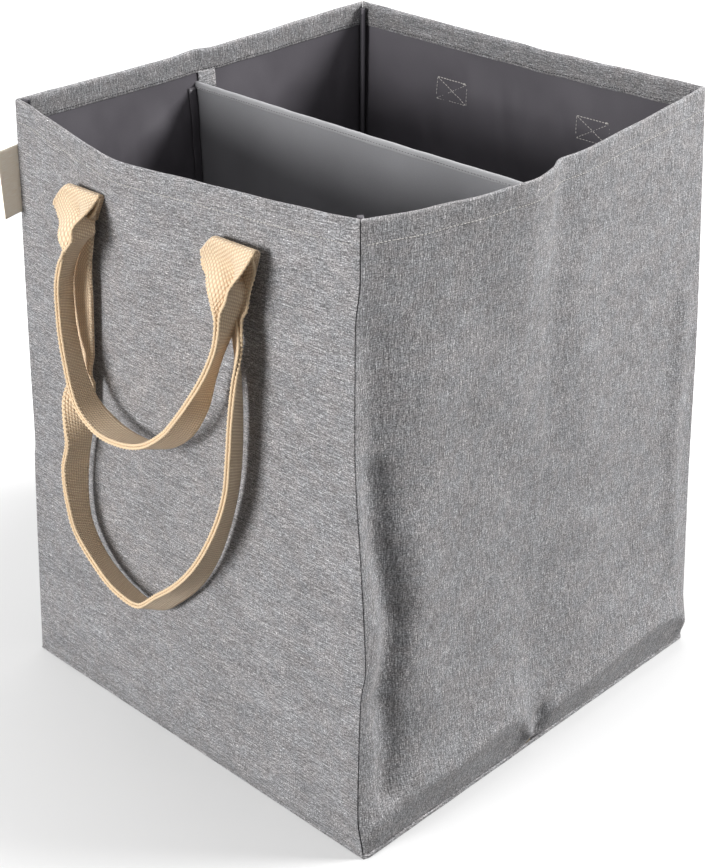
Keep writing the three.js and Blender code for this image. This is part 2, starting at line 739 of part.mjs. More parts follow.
// A sewn box with a cross in it, one thread thick, on the lining behind a handle's end.
function boxStitch(wall, side) {
  const halfWidth = BOX_STITCH_WIDTH / 2;
  const halfHeight = BOX_STITCH_HEIGHT / 2;
  const outline = new THREE.Shape();
  outline.moveTo(-halfWidth, -halfHeight);
  outline.lineTo(halfWidth, -halfHeight);
  outline.lineTo(halfWidth, halfHeight);
  outline.lineTo(-halfWidth, halfHeight);
  outline.closePath();
  const inX = halfWidth - THREAD_WIDTH;
  const inY = halfHeight - THREAD_WIDTH;
  const slant = Math.hypot(inX, inY) * (THREAD_WIDTH / 2);
  const window = (points) => {
    const hole = new THREE.Path();
    hole.moveTo(...points[0]);
    hole.lineTo(...points[1]);
    hole.lineTo(...points[2]);
    hole.closePath();
    outline.holes.push(hole);
  };
  for (const sign of [-1, 1]) {
    window([
      [-inX + slant / inY, sign * inY],
      [inX - slant / inY, sign * inY],
      [0, (sign * slant) / inX],
    ]);
    window([
      [sign * inX, -inY + slant / inX],
      [sign * inX, inY - slant / inX],
      [(sign * slant) / inY, 0],
    ]);
  }
  const geometry = new THREE.ExtrudeGeometry(outline, { depth: THREAD_THICKNESS, bevelEnabled: false });
  const centre = (side * HANDLE_SPACING) / 2;
  const middle = HEIGHT - BOX_STITCH_DROP - halfHeight;
  const position = geometry.getAttribute("position");
  const place = new THREE.Vector3();
  for (let k = 0; k < position.count; k += 1) {
    place.fromBufferAttribute(position, k);
    const depth = liningInside + SEAM_GAP + THREAD_THICKNESS - place.z;
    const onWall = facetPoint(wall, centre + place.x, middle + place.y, depth);
    position.setXYZ(k, onWall.x, onWall.y, onWall.z);
  }
  return geometry;
}

for (const wallName of ["front", "back"]) {
  const wall = walls[wallName];
  const fold = foldLine(wall);
  const loops = [
    ["long_handle", LONG_LOOP_SHARES, LONG_HANDLE_DROP],
    ["short_handle", SHORT_LOOP_SHARES, SHORT_HANDLE_DROP],
  ];
  loops.forEach(([name, shares, drop], layer) => {
    add(`${wallName}_${name}`, loopOfWebbing(wall, fold, shares, drop, layer), "webbing");
  });
  for (const [sideName, side] of [
    ["left", -1],
    ["right", 1],
  ]) {
    add(`${wallName}_short_handle_end_${sideName}`, sewnEnd(wall, fold, side, 0), "webbing");
    add(`${wallName}_long_handle_end_${sideName}`, sewnEnd(wall, fold, side, 1), "webbing");
    add(`${wallName}_box_stitch_${sideName}`, boxStitch(wall, side), "thread");
  }
}

export default hamper;
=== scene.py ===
# %% [markdown]
# # A soft laundry hamper with two bins
#
# The real thing is a square bag of heather-grey cloth with a dark coated lining, a cloth divider, and loops
# of folded cotton webbing sewn to two of its walls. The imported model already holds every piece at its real
# size. Here each soft piece is sewn again as fine cloth in the same place, and gets a finish made only of
# nodes.

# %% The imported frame
import json
import math
import random

import bmesh
import bpy
from mathutils import Matrix, Vector, noise


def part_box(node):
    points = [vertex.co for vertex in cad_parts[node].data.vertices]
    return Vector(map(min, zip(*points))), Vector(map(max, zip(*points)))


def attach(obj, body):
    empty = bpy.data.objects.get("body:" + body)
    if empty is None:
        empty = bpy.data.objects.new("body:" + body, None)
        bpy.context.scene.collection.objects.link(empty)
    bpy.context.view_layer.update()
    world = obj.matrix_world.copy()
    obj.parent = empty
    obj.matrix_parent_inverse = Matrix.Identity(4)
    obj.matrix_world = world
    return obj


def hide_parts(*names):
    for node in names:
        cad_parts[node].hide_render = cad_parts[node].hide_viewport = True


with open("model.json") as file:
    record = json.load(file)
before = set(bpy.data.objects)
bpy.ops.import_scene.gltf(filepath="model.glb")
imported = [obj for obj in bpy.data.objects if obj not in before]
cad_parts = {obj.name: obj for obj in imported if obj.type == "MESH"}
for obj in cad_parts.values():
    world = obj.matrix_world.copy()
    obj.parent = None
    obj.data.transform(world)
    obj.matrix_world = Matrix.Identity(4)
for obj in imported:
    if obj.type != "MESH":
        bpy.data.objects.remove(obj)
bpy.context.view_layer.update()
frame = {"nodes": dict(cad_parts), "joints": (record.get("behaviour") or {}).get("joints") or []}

MM = 0.001
scene = bpy.context.scene
print("nodes in the frame:", len(frame["nodes"]))

# %% [markdown]
# ## Camera
#
# The picture was taken from above one corner with a long lens. A camera is placed by where it stands and
# where it looks, so its three axes are worked out from an azimuth, an elevation and a slight roll. The lens
# is given for the long side of the frame, which Blender takes as the sensor's width.

# %% Camera
CAMERA_AZIMUTH = math.radians(44.39)
CAMERA_ELEVATION = math.radians(28.10)
CAMERA_ROLL = math.radians(-0.191)
CAMERA_PLACE = Vector((0.9158, -0.9447, 0.9137))
LENS_MM = 73.57
SENSOR_MM = 36.0

back = Vector((
    math.sin(CAMERA_AZIMUTH) * math.cos(CAMERA_ELEVATION),
    -math.cos(CAMERA_AZIMUTH) * math.cos(CAMERA_ELEVATION),
    math.sin(CAMERA_ELEVATION),
))
level = Vector((math.cos(CAMERA_AZIMUTH), math.sin(CAMERA_AZIMUTH), 0))
raised = back.cross(level)
right = level * math.cos(CAMERA_ROLL) + raised * math.sin(CAMERA_ROLL)
up = raised * math.cos(CAMERA_ROLL) - level * math.sin(CAMERA_ROLL)

camera_data = bpy.data.cameras.new("camera")
camera_data.lens = LENS_MM
camera_data.sensor_width = SENSOR_MM
camera = bpy.data.objects.new("camera", camera_data)
scene.collection.objects.link(camera)
axes = Matrix((right, up, back)).transposed()
camera.matrix_world = Matrix.Translation(CAMERA_PLACE) @ axes.to_4x4()
scene.camera = camera
scene.view_settings.view_transform = "Standard"
print("camera stands", round(CAMERA_PLACE.length, 2), "m from the middle of the hamper's base")

# %% [markdown]
# ## Light
#
# Soft studio light needs large lamps, because a lamp's size sets how soft its shadow's edge is. One lamp
# stands in front and a little to the left, so the handles throw their shadow to the right on the wall
# behind them. A stronger one lights the right wall at a slant from its far end, which brings out the folds
# there. A wide one hangs above.

# %% Lamps
LAMP_TARGET = Vector((0, 0, 0.25))


def area_lamp(name, place, size, power):
    """A round lamp that faces the hamper's middle."""
    data = bpy.data.lights.new(name, "AREA")
    data.shape = "DISK"
    data.size = size
    data.energy = power
    lamp = bpy.data.objects.new(name, data)
    scene.collection.objects.link(lamp)
    lamp.location = place
    lamp.rotation_euler = (Vector(place) - LAMP_TARGET).to_track_quat("Z", "Y").to_euler()


area_lamp("front_lamp", (-0.15, -2.4, 0.95), 0.9, 59)
area_lamp("side_lamp", (1.65, 1.6, 1.7), 0.9, 97)
area_lamp("top_lamp", (-0.4, 0.4, 2.7), 1.8, 34)
print("lamps:", [lamp.name for lamp in bpy.data.lights])

# %% [markdown]
# ## Sky and floor
#
# The sky is an even grey for the light. It is white where the camera sees it, also by way of something
# shiny or clear. The floor is pale to the camera and darker for the light, so that little light bounces
# from it back under the folds. To the camera it also glows, a little near the hamper and fully farther off,
# so that the shadow stays and the floor's far parts meet the white sky. Both are made of nodes, so the
# short helpers for nodes come first.

# %% Helpers for nodes and materials
def set_inputs(tree, node, values):
    """Set a node's inputs by name or number, or link them where the value is another node's output."""
    for key, value in values.items():
        if isinstance(value, bpy.types.NodeSocket):
            tree.links.new(value, node.inputs[key])
        else:
            node.inputs[key].default_value = value


def add_node(tree, kind, values=None, **settings):
    """A new node with its settings and inputs."""
    node = tree.nodes.new("ShaderNode" + kind)
    for key, value in settings.items():
        setattr(node, key, value)
    set_inputs(tree, node, values or {})
    return node


def calc(tree, operation, *values):
    """The result of one Math node."""
    return add_node(tree, "Math", dict(enumerate(values)), operation=operation).outputs[0]


def mapped(tree, value, low, high, to_low=0.0, to_high=1.0, **settings):
    """A value moved from one range to another and kept inside it."""
    ranges = {"Value": value, "From Min": low, "From Max": high, "To Min": to_low, "To Max": to_high}
    return add_node(tree, "MapRange", ranges, **settings).outputs["Result"]


def new_material(name, roughness, specular=0.25, sheen=0.0):
    """A material, its tree and its shader."""
    finish = bpy.data.materials.new(name)
    finish.use_nodes = True
    tree = finish.node_tree
    shader = tree.nodes["Principled BSDF"]
    set_inputs(tree, shader, {
        "Roughness": roughness, "Specular IOR Level": specular, "Sheen Weight": sheen, "Sheen Roughness": 0.5,
    })
    return finish, tree, shader


print("helpers for nodes and materials are ready")

# %% Sky
SKY_LIGHT = 0.24

world = bpy.data.worlds.new("studio")
scene.world = world
world.use_nodes = True
sky = world.node_tree
rays = add_node(sky, "LightPath").outputs
direct = calc(sky, "MAXIMUM", rays["Is Camera Ray"], rays["Is Glossy Ray"])
seen = calc(sky, "MAXIMUM", direct, rays["Is Transmission Ray"])
strength = mapped(sky, seen, 0.0, 1.0, SKY_LIGHT, 1.0)
set_inputs(sky, sky.nodes["Background"], {"Color": (1, 1, 1, 1), "Strength": strength})
print("the sky is white to the camera and", SKY_LIGHT, "for the light")

# %% Floor
FLOOR_SIZE = 30
FLOOR_COLOUR = 0.14
FLOOR_SEEN_COLOUR = 0.5
FLOOR_GLOW = (0.33, 1.0)
FLOOR_GLOW_REACH = (0.35, 0.72)


def floor_finish():
    """A matte floor whose glow is seen only by the camera and grows with the distance from the hamper."""
    finish, tree, shader = new_material("studio_floor", 0.9, specular=0.0)
    to_camera = add_node(tree, "LightPath").outputs["Is Camera Ray"]
    place = add_node(tree, "TexCoord").outputs["Object"]
    reach = add_node(tree, "VectorMath", {0: place}, operation="LENGTH").outputs["Value"]
    glow = mapped(tree, reach, *FLOOR_GLOW_REACH, *FLOOR_GLOW, interpolation_type="SMOOTHSTEP")
    set_inputs(tree, shader, {
        "Base Color": mapped(tree, to_camera, 0.0, 1.0, FLOOR_COLOUR, FLOOR_SEEN_COLOUR),
        "Emission Color": (1, 1, 1, 1),
        "Emission Strength": calc(tree, "MULTIPLY", glow, to_camera),
    })
    return finish


def link_mesh(name, mesh, finish):
    """An object from a bmesh, with its material."""
    data = bpy.data.meshes.new(name)
    mesh.to_mesh(data)
    mesh.free()
    data.materials.append(finish)
    data.shade_smooth()
    piece = bpy.data.objects.new(name, data)
    scene.collection.objects.link(piece)
    return piece


floor_mesh = bmesh.new()
bmesh.ops.create_grid(floor_mesh, x_segments=1, y_segments=1, size=FLOOR_SIZE / 2)
floor = link_mesh("floor", floor_mesh, floor_finish())
print("the floor is", FLOOR_SIZE, "m wide, and its glow is full from", FLOOR_GLOW_REACH[1], "m")

# %% [markdown]
# ## Cloth finishes
#
# A pattern that follows the cloth reads a map laid on the cloth itself. Every cloth piece here carries a UV
# map named Cloth whose numbers are real metres: the first runs along the weft, the second along the warp. A
# noise that is stretched a lot along one of them makes yarns. Where several finishes share an effect, it is
# a group of nodes.

# %% Helpers for finishes
def srgb(red, green, blue):
    """A linear colour from the 0 to 255 values that a paint chart gives."""
    def linear(value):
        value /= 255
        return value / 12.92 if value <= 0.04045 else ((value + 0.055) / 1.055) ** 2.4
    return (linear(red), linear(green), linear(blue), 1.0)


def blend_colour(tree, factor, first, second, blend="MIX"):
    """Two colours mixed by a factor."""
    values = {"Factor": factor, 6: first, 7: second}
    return add_node(tree, "Mix", values, data_type="RGBA", blend_type=blend).outputs[2]


def noise_value(tree, place, scale, detail, roughness=0.5):
    """The value of a noise texture at a place: around a half, between 0 and 1."""
    values = {"Vector": place, "Scale": scale, "Detail": detail, "Roughness": roughness}
    return add_node(tree, "TexNoise", values).outputs["Fac"]


def swing(tree, value, width):
    """A value around a half, moved to around nothing and made wider."""
    return calc(tree, "MULTIPLY", calc(tree, "SUBTRACT", value, 0.5), width)


def join_place(tree, x, y, z):
    """One place from three numbers."""
    return add_node(tree, "CombineXYZ", {"X": x, "Y": y, "Z": z}).outputs[0]


def cloth_map(tree):
    """The two numbers of the cloth's own map, in metres."""
    spread = add_node(tree, "UVMap", uv_map="Cloth")
    metres = add_node(tree, "SeparateXYZ", {0: spread.outputs[0]})
    return metres.outputs["X"], metres.outputs["Y"]


def scaled(tree, colour, factor):
    """A colour made brighter or darker by a factor."""
    return add_node(tree, "VectorMath", {0: colour, "Scale": factor}, operation="SCALE").outputs[0]


def dress(tree, shader, colour, relief, strength, depth):
    """Give a shader its colour, and a relief of a depth in metres."""
    bump = add_node(tree, "Bump", {"Height": relief, "Strength": strength, "Distance": depth})
    set_inputs(tree, shader, {"Base Color": colour, "Normal": bump.outputs[0]})


def start_group(name, inputs, output):
    """A node group of numbers, with the outputs of its start and the inputs of its end."""
    group = bpy.data.node_groups.new(name, "ShaderNodeTree")
    for label, value in inputs.items():
        socket = group.interface.new_socket(label, in_out="INPUT", socket_type="NodeSocketFloat")
        socket.default_value = value
    group.interface.new_socket(output, in_out="OUTPUT", socket_type="NodeSocketFloat")
    return group, group.nodes.new("NodeGroupInput").outputs, group.nodes.new("NodeGroupOutput").inputs


def use_group(tree, group, **values):
    """The result of a node group that is placed in a tree."""
    return add_node(tree, "Group", values, node_tree=group).outputs[0]


print("helpers for finishes are ready")

# %% [markdown]
# ### Yarns
#
# Heather cloth is woven from yarns spun of dark and light fibres. Each yarn keeps its tone for a few
# millimetres or more, so the cloth shows short dashes along the weft and the warp. The first group makes
# one direction of such dashes from their length and width in metres. The second is the height of the weave,
# for the relief.

# %% Group for the dashes of yarns
def make_dashes():
    """A noise of thin dashes."""
    sizes = {"Along": 0.0, "Across": 0.0, "Length": 0.01, "Width": 0.001, "Seed": 0.0}
    tree, given, result = start_group("yarn_dashes", sizes, "Tone")
    along = calc(tree, "DIVIDE", given["Along"], given["Length"])
    across = calc(tree, "DIVIDE", given["Across"], given["Width"])
    place = join_place(tree, along, across, given["Seed"])
    tree.links.new(noise_value(tree, place, 1.0, 2.0, 0.55), result["Tone"])
    return tree


yarn_dashes = make_dashes()


# %% Group for the crossing of warp and weft
def make_weave():
    """Height of a plain weave: rounded yarns that pass over and under each other."""
    tree, given, result = start_group("plain_weave", {"Along": 0.0, "Up": 0.0, "Pitch": 0.001}, "Height")
    turns = [calc(tree, "DIVIDE", given[name], given["Pitch"]) for name in ("Along", "Up")]
    waves = [calc(tree, "SINE", calc(tree, "MULTIPLY", turn, math.pi)) for turn in turns]
    crossing = calc(tree, "MULTIPLY", *waves)
    tree.links.new(mapped(tree, crossing, -1.0, 1.0), result["Height"])
    return tree


plain_weave = make_weave()
print("groups:", [group.name for group in bpy.data.node_groups])

# %% [markdown]
# ### Heather cloth
#
# The outer cloth mixes short and long dashes along the weft and along the warp with small bright and dark
# flecks. One direction is stronger than the other: on the handle walls the weft shows more, and on the side
# walls the warp does. A large soft noise makes the tone drift, and a smaller one makes it a little cool or
# a little warm. RIM_RUN is how far up the cloth the rim is. Past it the cloth is turned in, and the hem
# there is painted darker by HEM_TONE: painted shade inside the rim.

# %% Heather cloth
HEATHER_GREY = srgb(140, 139, 140)
COOL_TINT = (0.985, 0.998, 1.012, 1)
WARM_TINT = (1.018, 1.0, 0.995, 1)
SHORT_DASH = {"Length": 0.0034, "Width": 0.00072}
LONG_DASH = {"Length": 0.014, "Width": 0.00075}
HEATHER_PITCH = 0.00055
RIM_RUN = 0.507
HEM_FADE = 0.004
HEM_TONE = 0.7


def heather_cloth(name, weft_weight):
    """The outer cloth. The weft has a weight in its tone, and the warp has the rest."""
    finish, tree, shader = new_material(name, 0.92, sheen=0.08)
    along, upwards = cloth_map(tree)
    place = join_place(tree, along, upwards, 0.7)

    def yarns(dash, weft_seed, warp_seed, width):
        weft = use_group(tree, yarn_dashes, Along=along, Across=upwards, Seed=weft_seed, **dash)
        warp = use_group(tree, yarn_dashes, Along=upwards, Across=along, Seed=warp_seed, **dash)
        both = calc(tree, "ADD", swing(tree, weft, weft_weight), swing(tree, warp, 1 - weft_weight))
        return calc(tree, "MULTIPLY", both, width)

    short_tone = yarns(SHORT_DASH, 3.1, 8.7, 3.8)
    long_tone = yarns(LONG_DASH, 5.3, 1.9, 3.0)
    fleck_tone = swing(tree, noise_value(tree, place, 900.0, 1.0), 3.0)
    cloud_tone = swing(tree, noise_value(tree, place, 26.0, 3.0), 0.4)
    yarn_tone = calc(tree, "ADD", short_tone, long_tone)
    total = calc(tree, "ADD", yarn_tone, calc(tree, "ADD", fleck_tone, cloud_tone))
    power = calc(tree, "POWER", 2.0, calc(tree, "MULTIPLY", total, 1.25))
    # The turned-in hem past the rim is painted darker by HEM_TONE, as painted shade inside the rim.
    hem_painted_shade = mapped(tree, upwards, RIM_RUN, RIM_RUN + HEM_FADE, 1.0, HEM_TONE)
    warmth = mapped(tree, noise_value(tree, place, 95.0, 2.0), 0.38, 0.62)
    tint = blend_colour(tree, warmth, COOL_TINT, WARM_TINT)
    grey = blend_colour(tree, 1.0, tint, HEATHER_GREY, blend="MULTIPLY")
    weave = use_group(tree, plain_weave, Along=along, Up=upwards, Pitch=HEATHER_PITCH)
    relief = calc(tree, "ADD", calc(tree, "MULTIPLY", weave, 0.5), calc(tree, "ADD", short_tone, fleck_tone))
    dress(tree, shader, scaled(tree, grey, calc(tree, "MULTIPLY", power, hem_painted_shade)), relief, 0.35, 0.00035)
    return finish


heather_weft = heather_cloth("heather_cloth_weft", 0.8)
heather_warp = heather_cloth("heather_cloth_warp", 0.3)
print("heather cloth in two directions")

# %% [markdown]
# ### Lining, divider and seam tape
#
# The lining is a tightly woven cloth with a thin coating, so it is smoother and a little shinier than the
# outer cloth, and dark with a touch of purple. The divider is the same kind of cloth in a lighter grey,
# which is partly its own tone and partly painted light, because its face is lit from the front and above
# while the lining walls are in shade. The strip folded over its top is paler still. All have a fine grain,
# and soft clouds where the coating is uneven. The nearly black, dull seam finish is the thread of the
# outside corner seams, and painted shade on the cords along the bound seams' edges.

# %% Coated cloth
def coated_cloth(name, base, roughness, pitch=0.0007):
    """A tight weave under a thin coating that is a little uneven in its tone and its shine."""
    finish, tree, shader = new_material(name, roughness, specular=0.35)
    along, upwards = cloth_map(tree)
    place = join_place(tree, along, upwards, 1.3)
    clouds = noise_value(tree, place, 18.0, 4.0, 0.6)
    grain = noise_value(tree, place, 900.0, 2.0)
    uneven = calc(tree, "ADD", swing(tree, clouds, 0.32), swing(tree, grain, 0.22))
    shine = mapped(tree, clouds, 0.3, 0.7, roughness - 0.07, roughness + 0.08)
    set_inputs(tree, shader, {"Roughness": shine})
    weave = use_group(tree, plain_weave, Along=along, Up=upwards, Pitch=pitch)
    relief = calc(tree, "ADD", calc(tree, "MULTIPLY", weave, 0.4), grain)
    dress(tree, shader, scaled(tree, base[:3], calc(tree, "ADD", uneven, 1.0)), relief, 0.22, 0.0002)
    return finish


lining_finish = coated_cloth("coated_lining", srgb(86, 83, 88), 0.45)
# The divider's lighter grey is partly its own tone and partly painted light.
divider_finish = coated_cloth("coated_divider", srgb(150, 150, 153), 0.46)
divider_hem_finish = coated_cloth("coated_divider_hem", srgb(176, 176, 178), 0.5)
# Nearly black seam finish: thread in the outside corner seams, and painted shade on the cords beside the
# bound seams.
seam_thread_and_shade_finish = coated_cloth("seam_tape", srgb(40, 39, 43), 0.85, pitch=0.001)
print("finishes so far:", len(bpy.data.materials))

# %% [markdown]
# ## The shape of the walls
#
# The bag tapers from its base to its rim, and its empty walls belly outwards near the rim. A wall is a
# surface with two coordinates: how far along the wall a point is, and how high. A table of shares says how
# much of the belly each place along the rim has, and a power of the height lets it die away downwards. The
# rim's middle sags, and on the left wall it has a small peak, where the divider holds it. The layers of
# cloth are the same surface, moved inwards by their depth.

# %% Sizes of the bag
def box_of(node):
    """The low and the high corner of a node's box."""
    return [Vector(corner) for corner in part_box(node)]


floor_high = box_of("outer_base")[1]
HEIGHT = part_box("rim_hem_front")[1][2]
FLOOR_HALF_X = floor_high.x
FLOOR_HALF_Y = floor_high.y
RIM_HALF_X = 183 * MM
RIM_HALF_Y = 190 * MM
OUTER_CLOTH = 1.0 * MM
LINING_CLOTH = 0.8 * MM
LAYER_GAP = 0.3 * MM
LINING_DEPTH = OUTER_CLOTH + LAYER_GAP
HEM_DEPTH = LINING_DEPTH + LINING_CLOTH + LAYER_GAP + OUTER_CLOTH
HEM_HEIGHT = 20 * MM
WALL_FOOT = 1.3 * MM
BELLY_POWER = 2.4
SAG_POWER = 5
print("hamper:", [round(size * 1000) for size in (2 * FLOOR_HALF_X, 2 * FLOOR_HALF_Y, HEIGHT)], "mm")


# %% Smooth tables
def share_at(table, place):
    """A smooth value through rows of (place, share), which rises and falls only where the table does."""
    last = len(table) - 1
    k = 0
    while k < last - 1 and place > table[k + 1][0]:
        k += 1

    def rise(n):
        return (table[n + 1][1] - table[n][1]) / (table[n + 1][0] - table[n][0])

    def slope(n):
        if n in (0, last):
            return rise(min(n, last - 1))
        before, after = rise(n - 1), rise(n)
        return 0 if before * after <= 0 else 2 * before * after / (before + after)

    step = table[k + 1][0] - table[k][0]
    t = min(max((place - table[k][0]) / step, 0), 1)
    s = t * t * (3 - 2 * t)
    ease = t * (1 - t) * step
    level_at = table[k][1] + (table[k + 1][1] - table[k][1]) * s
    return level_at + ease * ((1 - t) * slope(k) - t * slope(k + 1))


FRONT_BELLY_SHARES = [
    (-1, 0), (-0.9, 0.06), (-0.76, 0.27), (-0.58, 0.49), (-0.36, 0.84), (-0.15, 1), (0.02, 0.86),
    (0.17, 0.67), (0.33, 0.57), (0.48, 0.43), (0.68, 0.27), (0.83, 0.16), (1, 0),
]
RIGHT_BELLY_SHARES = [
    (-1, 0), (-0.75, 0.52), (-0.5, 0.85), (-0.25, 1), (-0.1, 0.78), (0, 0.48), (0.12, 0.52), (0.3, 0.42),
    (0.6, 0.22), (1, 0),
]
EVEN_BELLY_SHARES = [(-1, 0), (-0.6, 0.66), (0, 1), (0.6, 0.66), (1, 0)]

walls = {
    name: {"along": Vector(along), "out": Vector(out), "belly": belly * MM, "sag": sag * MM,
           "peak": peak * MM, "shares": shares, "ends": ends}
    for name, along, out, belly, sag, peak, shares, ends in (
        ("front", (1, 0, 0), (0, -1, 0), 27.5, 5.5, 0, FRONT_BELLY_SHARES, ("front_left", "front_right")),
        ("right", (0, 1, 0), (1, 0, 0), 27, 5, 0, RIGHT_BELLY_SHARES, ("front_right", "back_right")),
        ("back", (-1, 0, 0), (0, 1, 0), 8, 5, 0, EVEN_BELLY_SHARES, ("back_right", "back_left")),
        ("left", (0, -1, 0), (-1, 0, 0), 13, 7, 1.5, EVEN_BELLY_SHARES, ("back_left", "front_left")),
    )
}


def between(low, high, share):
    """The value at a share of the way from low to high."""
    return low + (high - low) * share


def half_length(wall, z):
    """Half a wall's length at a height."""
    on_x = wall["along"].x != 0
    return between(FLOOR_HALF_X if on_x else FLOOR_HALF_Y, RIM_HALF_X if on_x else RIM_HALF_Y, z / HEIGHT)


def plane_out(wall, z):
    """How far a wall's flat shape stands from the hamper's axis at a height."""
    on_x = wall["along"].x != 0
    return between(FLOOR_HALF_Y if on_x else FLOOR_HALF_X, RIM_HALF_Y if on_x else RIM_HALF_X, z / HEIGHT)


# %% [markdown]
# ### Folds
#
# What makes an empty bag look soft is that its corner seams wander and its walls carry a few long folds. A
# fold is a polyline on the wall, in millimetres along and up, with a depth and a width. A point near the
# line moves out or in by a bell curve of its distance. The corners wander by a table of shifts over the
# height, which fades away along both of the walls that meet there. Above the base seam each wall stands
# proud and tucks under: its crest's height and its depth, in millimetres, change along the wall. The rim
# rises a little at the back corners.

# %% Corner seams that wander
CORNER_SHIFT_SHARES = {
    "front_right": [
        (0, 0), (0.022, 0.3), (0.07, 0.92), (0.2, 0.65), (0.283, 0.28), (0.33, -0.46), (0.365, -0.4),
        (0.48, 0.09), (0.68, 1), (0.854, 0.77), (0.92, 0.06), (1, 0),
    ],
    "back_right": [(0, 0), (0.08, 0.4), (0.3, 0.4), (0.6, 1), (0.8, 0.6), (1, 0)],
    "front_left": [(0, 0), (0.2, 0.2), (0.39, 0.6), (0.41, 1), (0.55, 0.6), (0.8, 0.2), (1, 0)],
    "back_left": [(0, 0), (0.3, 0.5), (0.7, 1), (1, 0)],
}
CORNER_SHIFTS = {
    "front_right": Vector((-1, -1, 0)).normalized() * 4.6 * MM,
    "back_right": Vector((1, 1, 0)).normalized() * 2.6 * MM,
    "front_left": Vector((1, 1, 0)).normalized() * 2.4 * MM,
    "back_left": Vector((-1, 1, 0)).normalized() * 2.0 * MM,
}
CORNER_SHIFT_REACH = 45 * MM


def corner_shift(corner, z):
    """How far a corner seam has wandered at a height."""
    return CORNER_SHIFTS[corner] * share_at(CORNER_SHIFT_SHARES[corner], z / HEIGHT)


# %% Folds of the walls
def fold(points, depth, width):
    """A soft fold along a polyline on a wall, in millimetres: outwards where the depth is positive."""
    return [Vector(point) * MM for point in points], depth * MM, width * MM


FOLDS = {
    "front": [
        fold([(-150, 60), (-60, 30), (60, 18)], 1.2, 16),
        fold([(185, 250), (178, 150), (190, 60)], 1.4, 12),
    ],
    "right": [
        fold([(-180, 410), (-181, 345)], -5.0, 18),
        fold([(-180, 315), (-178, 262), (-172, 222), (-168, 190), (-174, 150), (-179, 132), (-173, 100),
              (-178, 50)], -10.0, 14),
        fold([(-150, 262), (-148, 200), (-158, 150)], 3.0, 15),
        fold([(-138, 380), (-132, 300), (-136, 110)], 3.2, 26),
        fold([(-60, 300), (-20, 200), (-40, 90)], -1.6, 26),
        fold([(30, 380), (60, 250), (40, 110)], 1.4, 24),
        fold([(-2, 500), (-4, 380), (-8, 260), (-12, 150)], 0.7, 2.6),
        fold([(176, 340), (172, 220), (176, 100)], 3.0, 11),
        fold([(-5, 26), (-5, 12)], -5.5, 9),
        fold([(-120, 505), (-105, 440), (-60, 380)], -1.6, 22),
    ],
    "back": [
        fold([(-60, 90), (20, 60), (120, 80)], 1.6, 14),
        fold([(120, 420), (60, 300), (80, 180)], -2.0, 26),
        fold([(-150, 330), (-110, 240), (-140, 120)], 2.0, 18),
    ],
    "left": [
        fold([(2, 500), (4, 380), (6, 150)], 0.7, 2.6),
        fold([(-110, 380), (-90, 250), (-120, 120)], -2.4, 24),
        fold([(120, 300), (150, 200), (140, 90)], 2.0, 18),
    ],
}
TUCK_CRESTS = {
    "right": [(-1, 8), (-0.98, 18), (-0.78, 40), (-0.53, 38), (-0.29, 46), (-0.17, 43), (-0.064, 14),
              (0.03, 26), (0.28, 35), (0.53, 40), (0.78, 42), (0.9, 38), (0.985, 13), (1, 8)],
    "front": [(-1, 6), (-0.5, 12), (0.3, 10), (1, 6)],
    "back": [(-1, 8), (-0.7, 34), (0.1, 42), (0.7, 30), (1, 8)],
    "left": [(-1, 8), (-0.6, 38), (-0.05, 30), (0, 16), (0.08, 28), (0.7, 40), (1, 8)],
}
TUCK_DEPTHS = {
    "right": [(-1, 0), (-0.92, 9), (-0.8, 12), (-0.2, 13), (-0.1, 11), (0, 8.5), (0.06, 9.5), (0.3, 12),
              (0.8, 13), (0.94, 11), (1, 0)],
    "front": [(-1, 0), (-0.8, 2.6), (0.8, 2.6), (1, 0)],
    "back": [(-1, 0), (-0.8, 5), (0.8, 6), (1, 0)],
    "left": [(-1, 0), (-0.8, 6), (-0.1, 6), (0, 2.5), (0.1, 6), (0.8, 5), (1, 0)],
}
TUCK_FADE = 58 * MM
FOLD_REACH = 3


def distance_to(line, point):
    """How far a point lies from a polyline, in the wall's own plane."""
    nearest = math.inf
    for start, end in zip(line, line[1:]):
        run = end - start
        share = min(max((point - start).dot(run) / run.length_squared, 0), 1)
        nearest = min(nearest, (point - start - run * share).length)
    return nearest


def fold_out(name, place, z):
    """How far the folds move a wall out at a place and a height."""
    point = Vector((place, z))
    total = 0
    for line, depth, width in FOLDS[name]:
        reach = FOLD_REACH * width
        if min(a.x for a in line) - reach < place < max(a.x for a in line) + reach:
            total += depth * math.exp(-((distance_to(line, point) / width) ** 2))
    return total


def tuck_out(name, share, z):
    """The fold above the base: the cloth stands proud of the base seam, and tucks under to it."""
    crest = share_at(TUCK_CRESTS[name], share) * MM
    depth = share_at(TUCK_DEPTHS[name], share) * MM
    above = max(z - WALL_FOOT, 0)
    rise = min(above / crest, 1)
    fade = math.exp(-max(above - crest, 0) / TUCK_FADE)
    return depth * rise * fade


FOLDS_FREE_POWER = 24
RIPPLES_FREE_POWER = 6
RIM_WAVE = 1.4 * MM
RIM_WAVE_SCALE = 22
RIM_RISES = {"front_left": 0, "front_right": 0, "back_right": 3 * MM, "back_left": 4.5 * MM}
PEAK_HALF = 14 * MM
PEAK_POWER = 6 * SAG_POWER
RIPPLE_SCALES = ((9, 0.9 * MM), (24, 0.35 * MM), (60, 0.12 * MM))


def ripple(name, place, z):
    """Small uneven waves that any cloth has."""
    seed = 10 * sorted(walls).index(name)
    return sum(size * noise.noise(Vector((place * scale, z * scale, seed))) for scale, size in RIPPLE_SCALES)


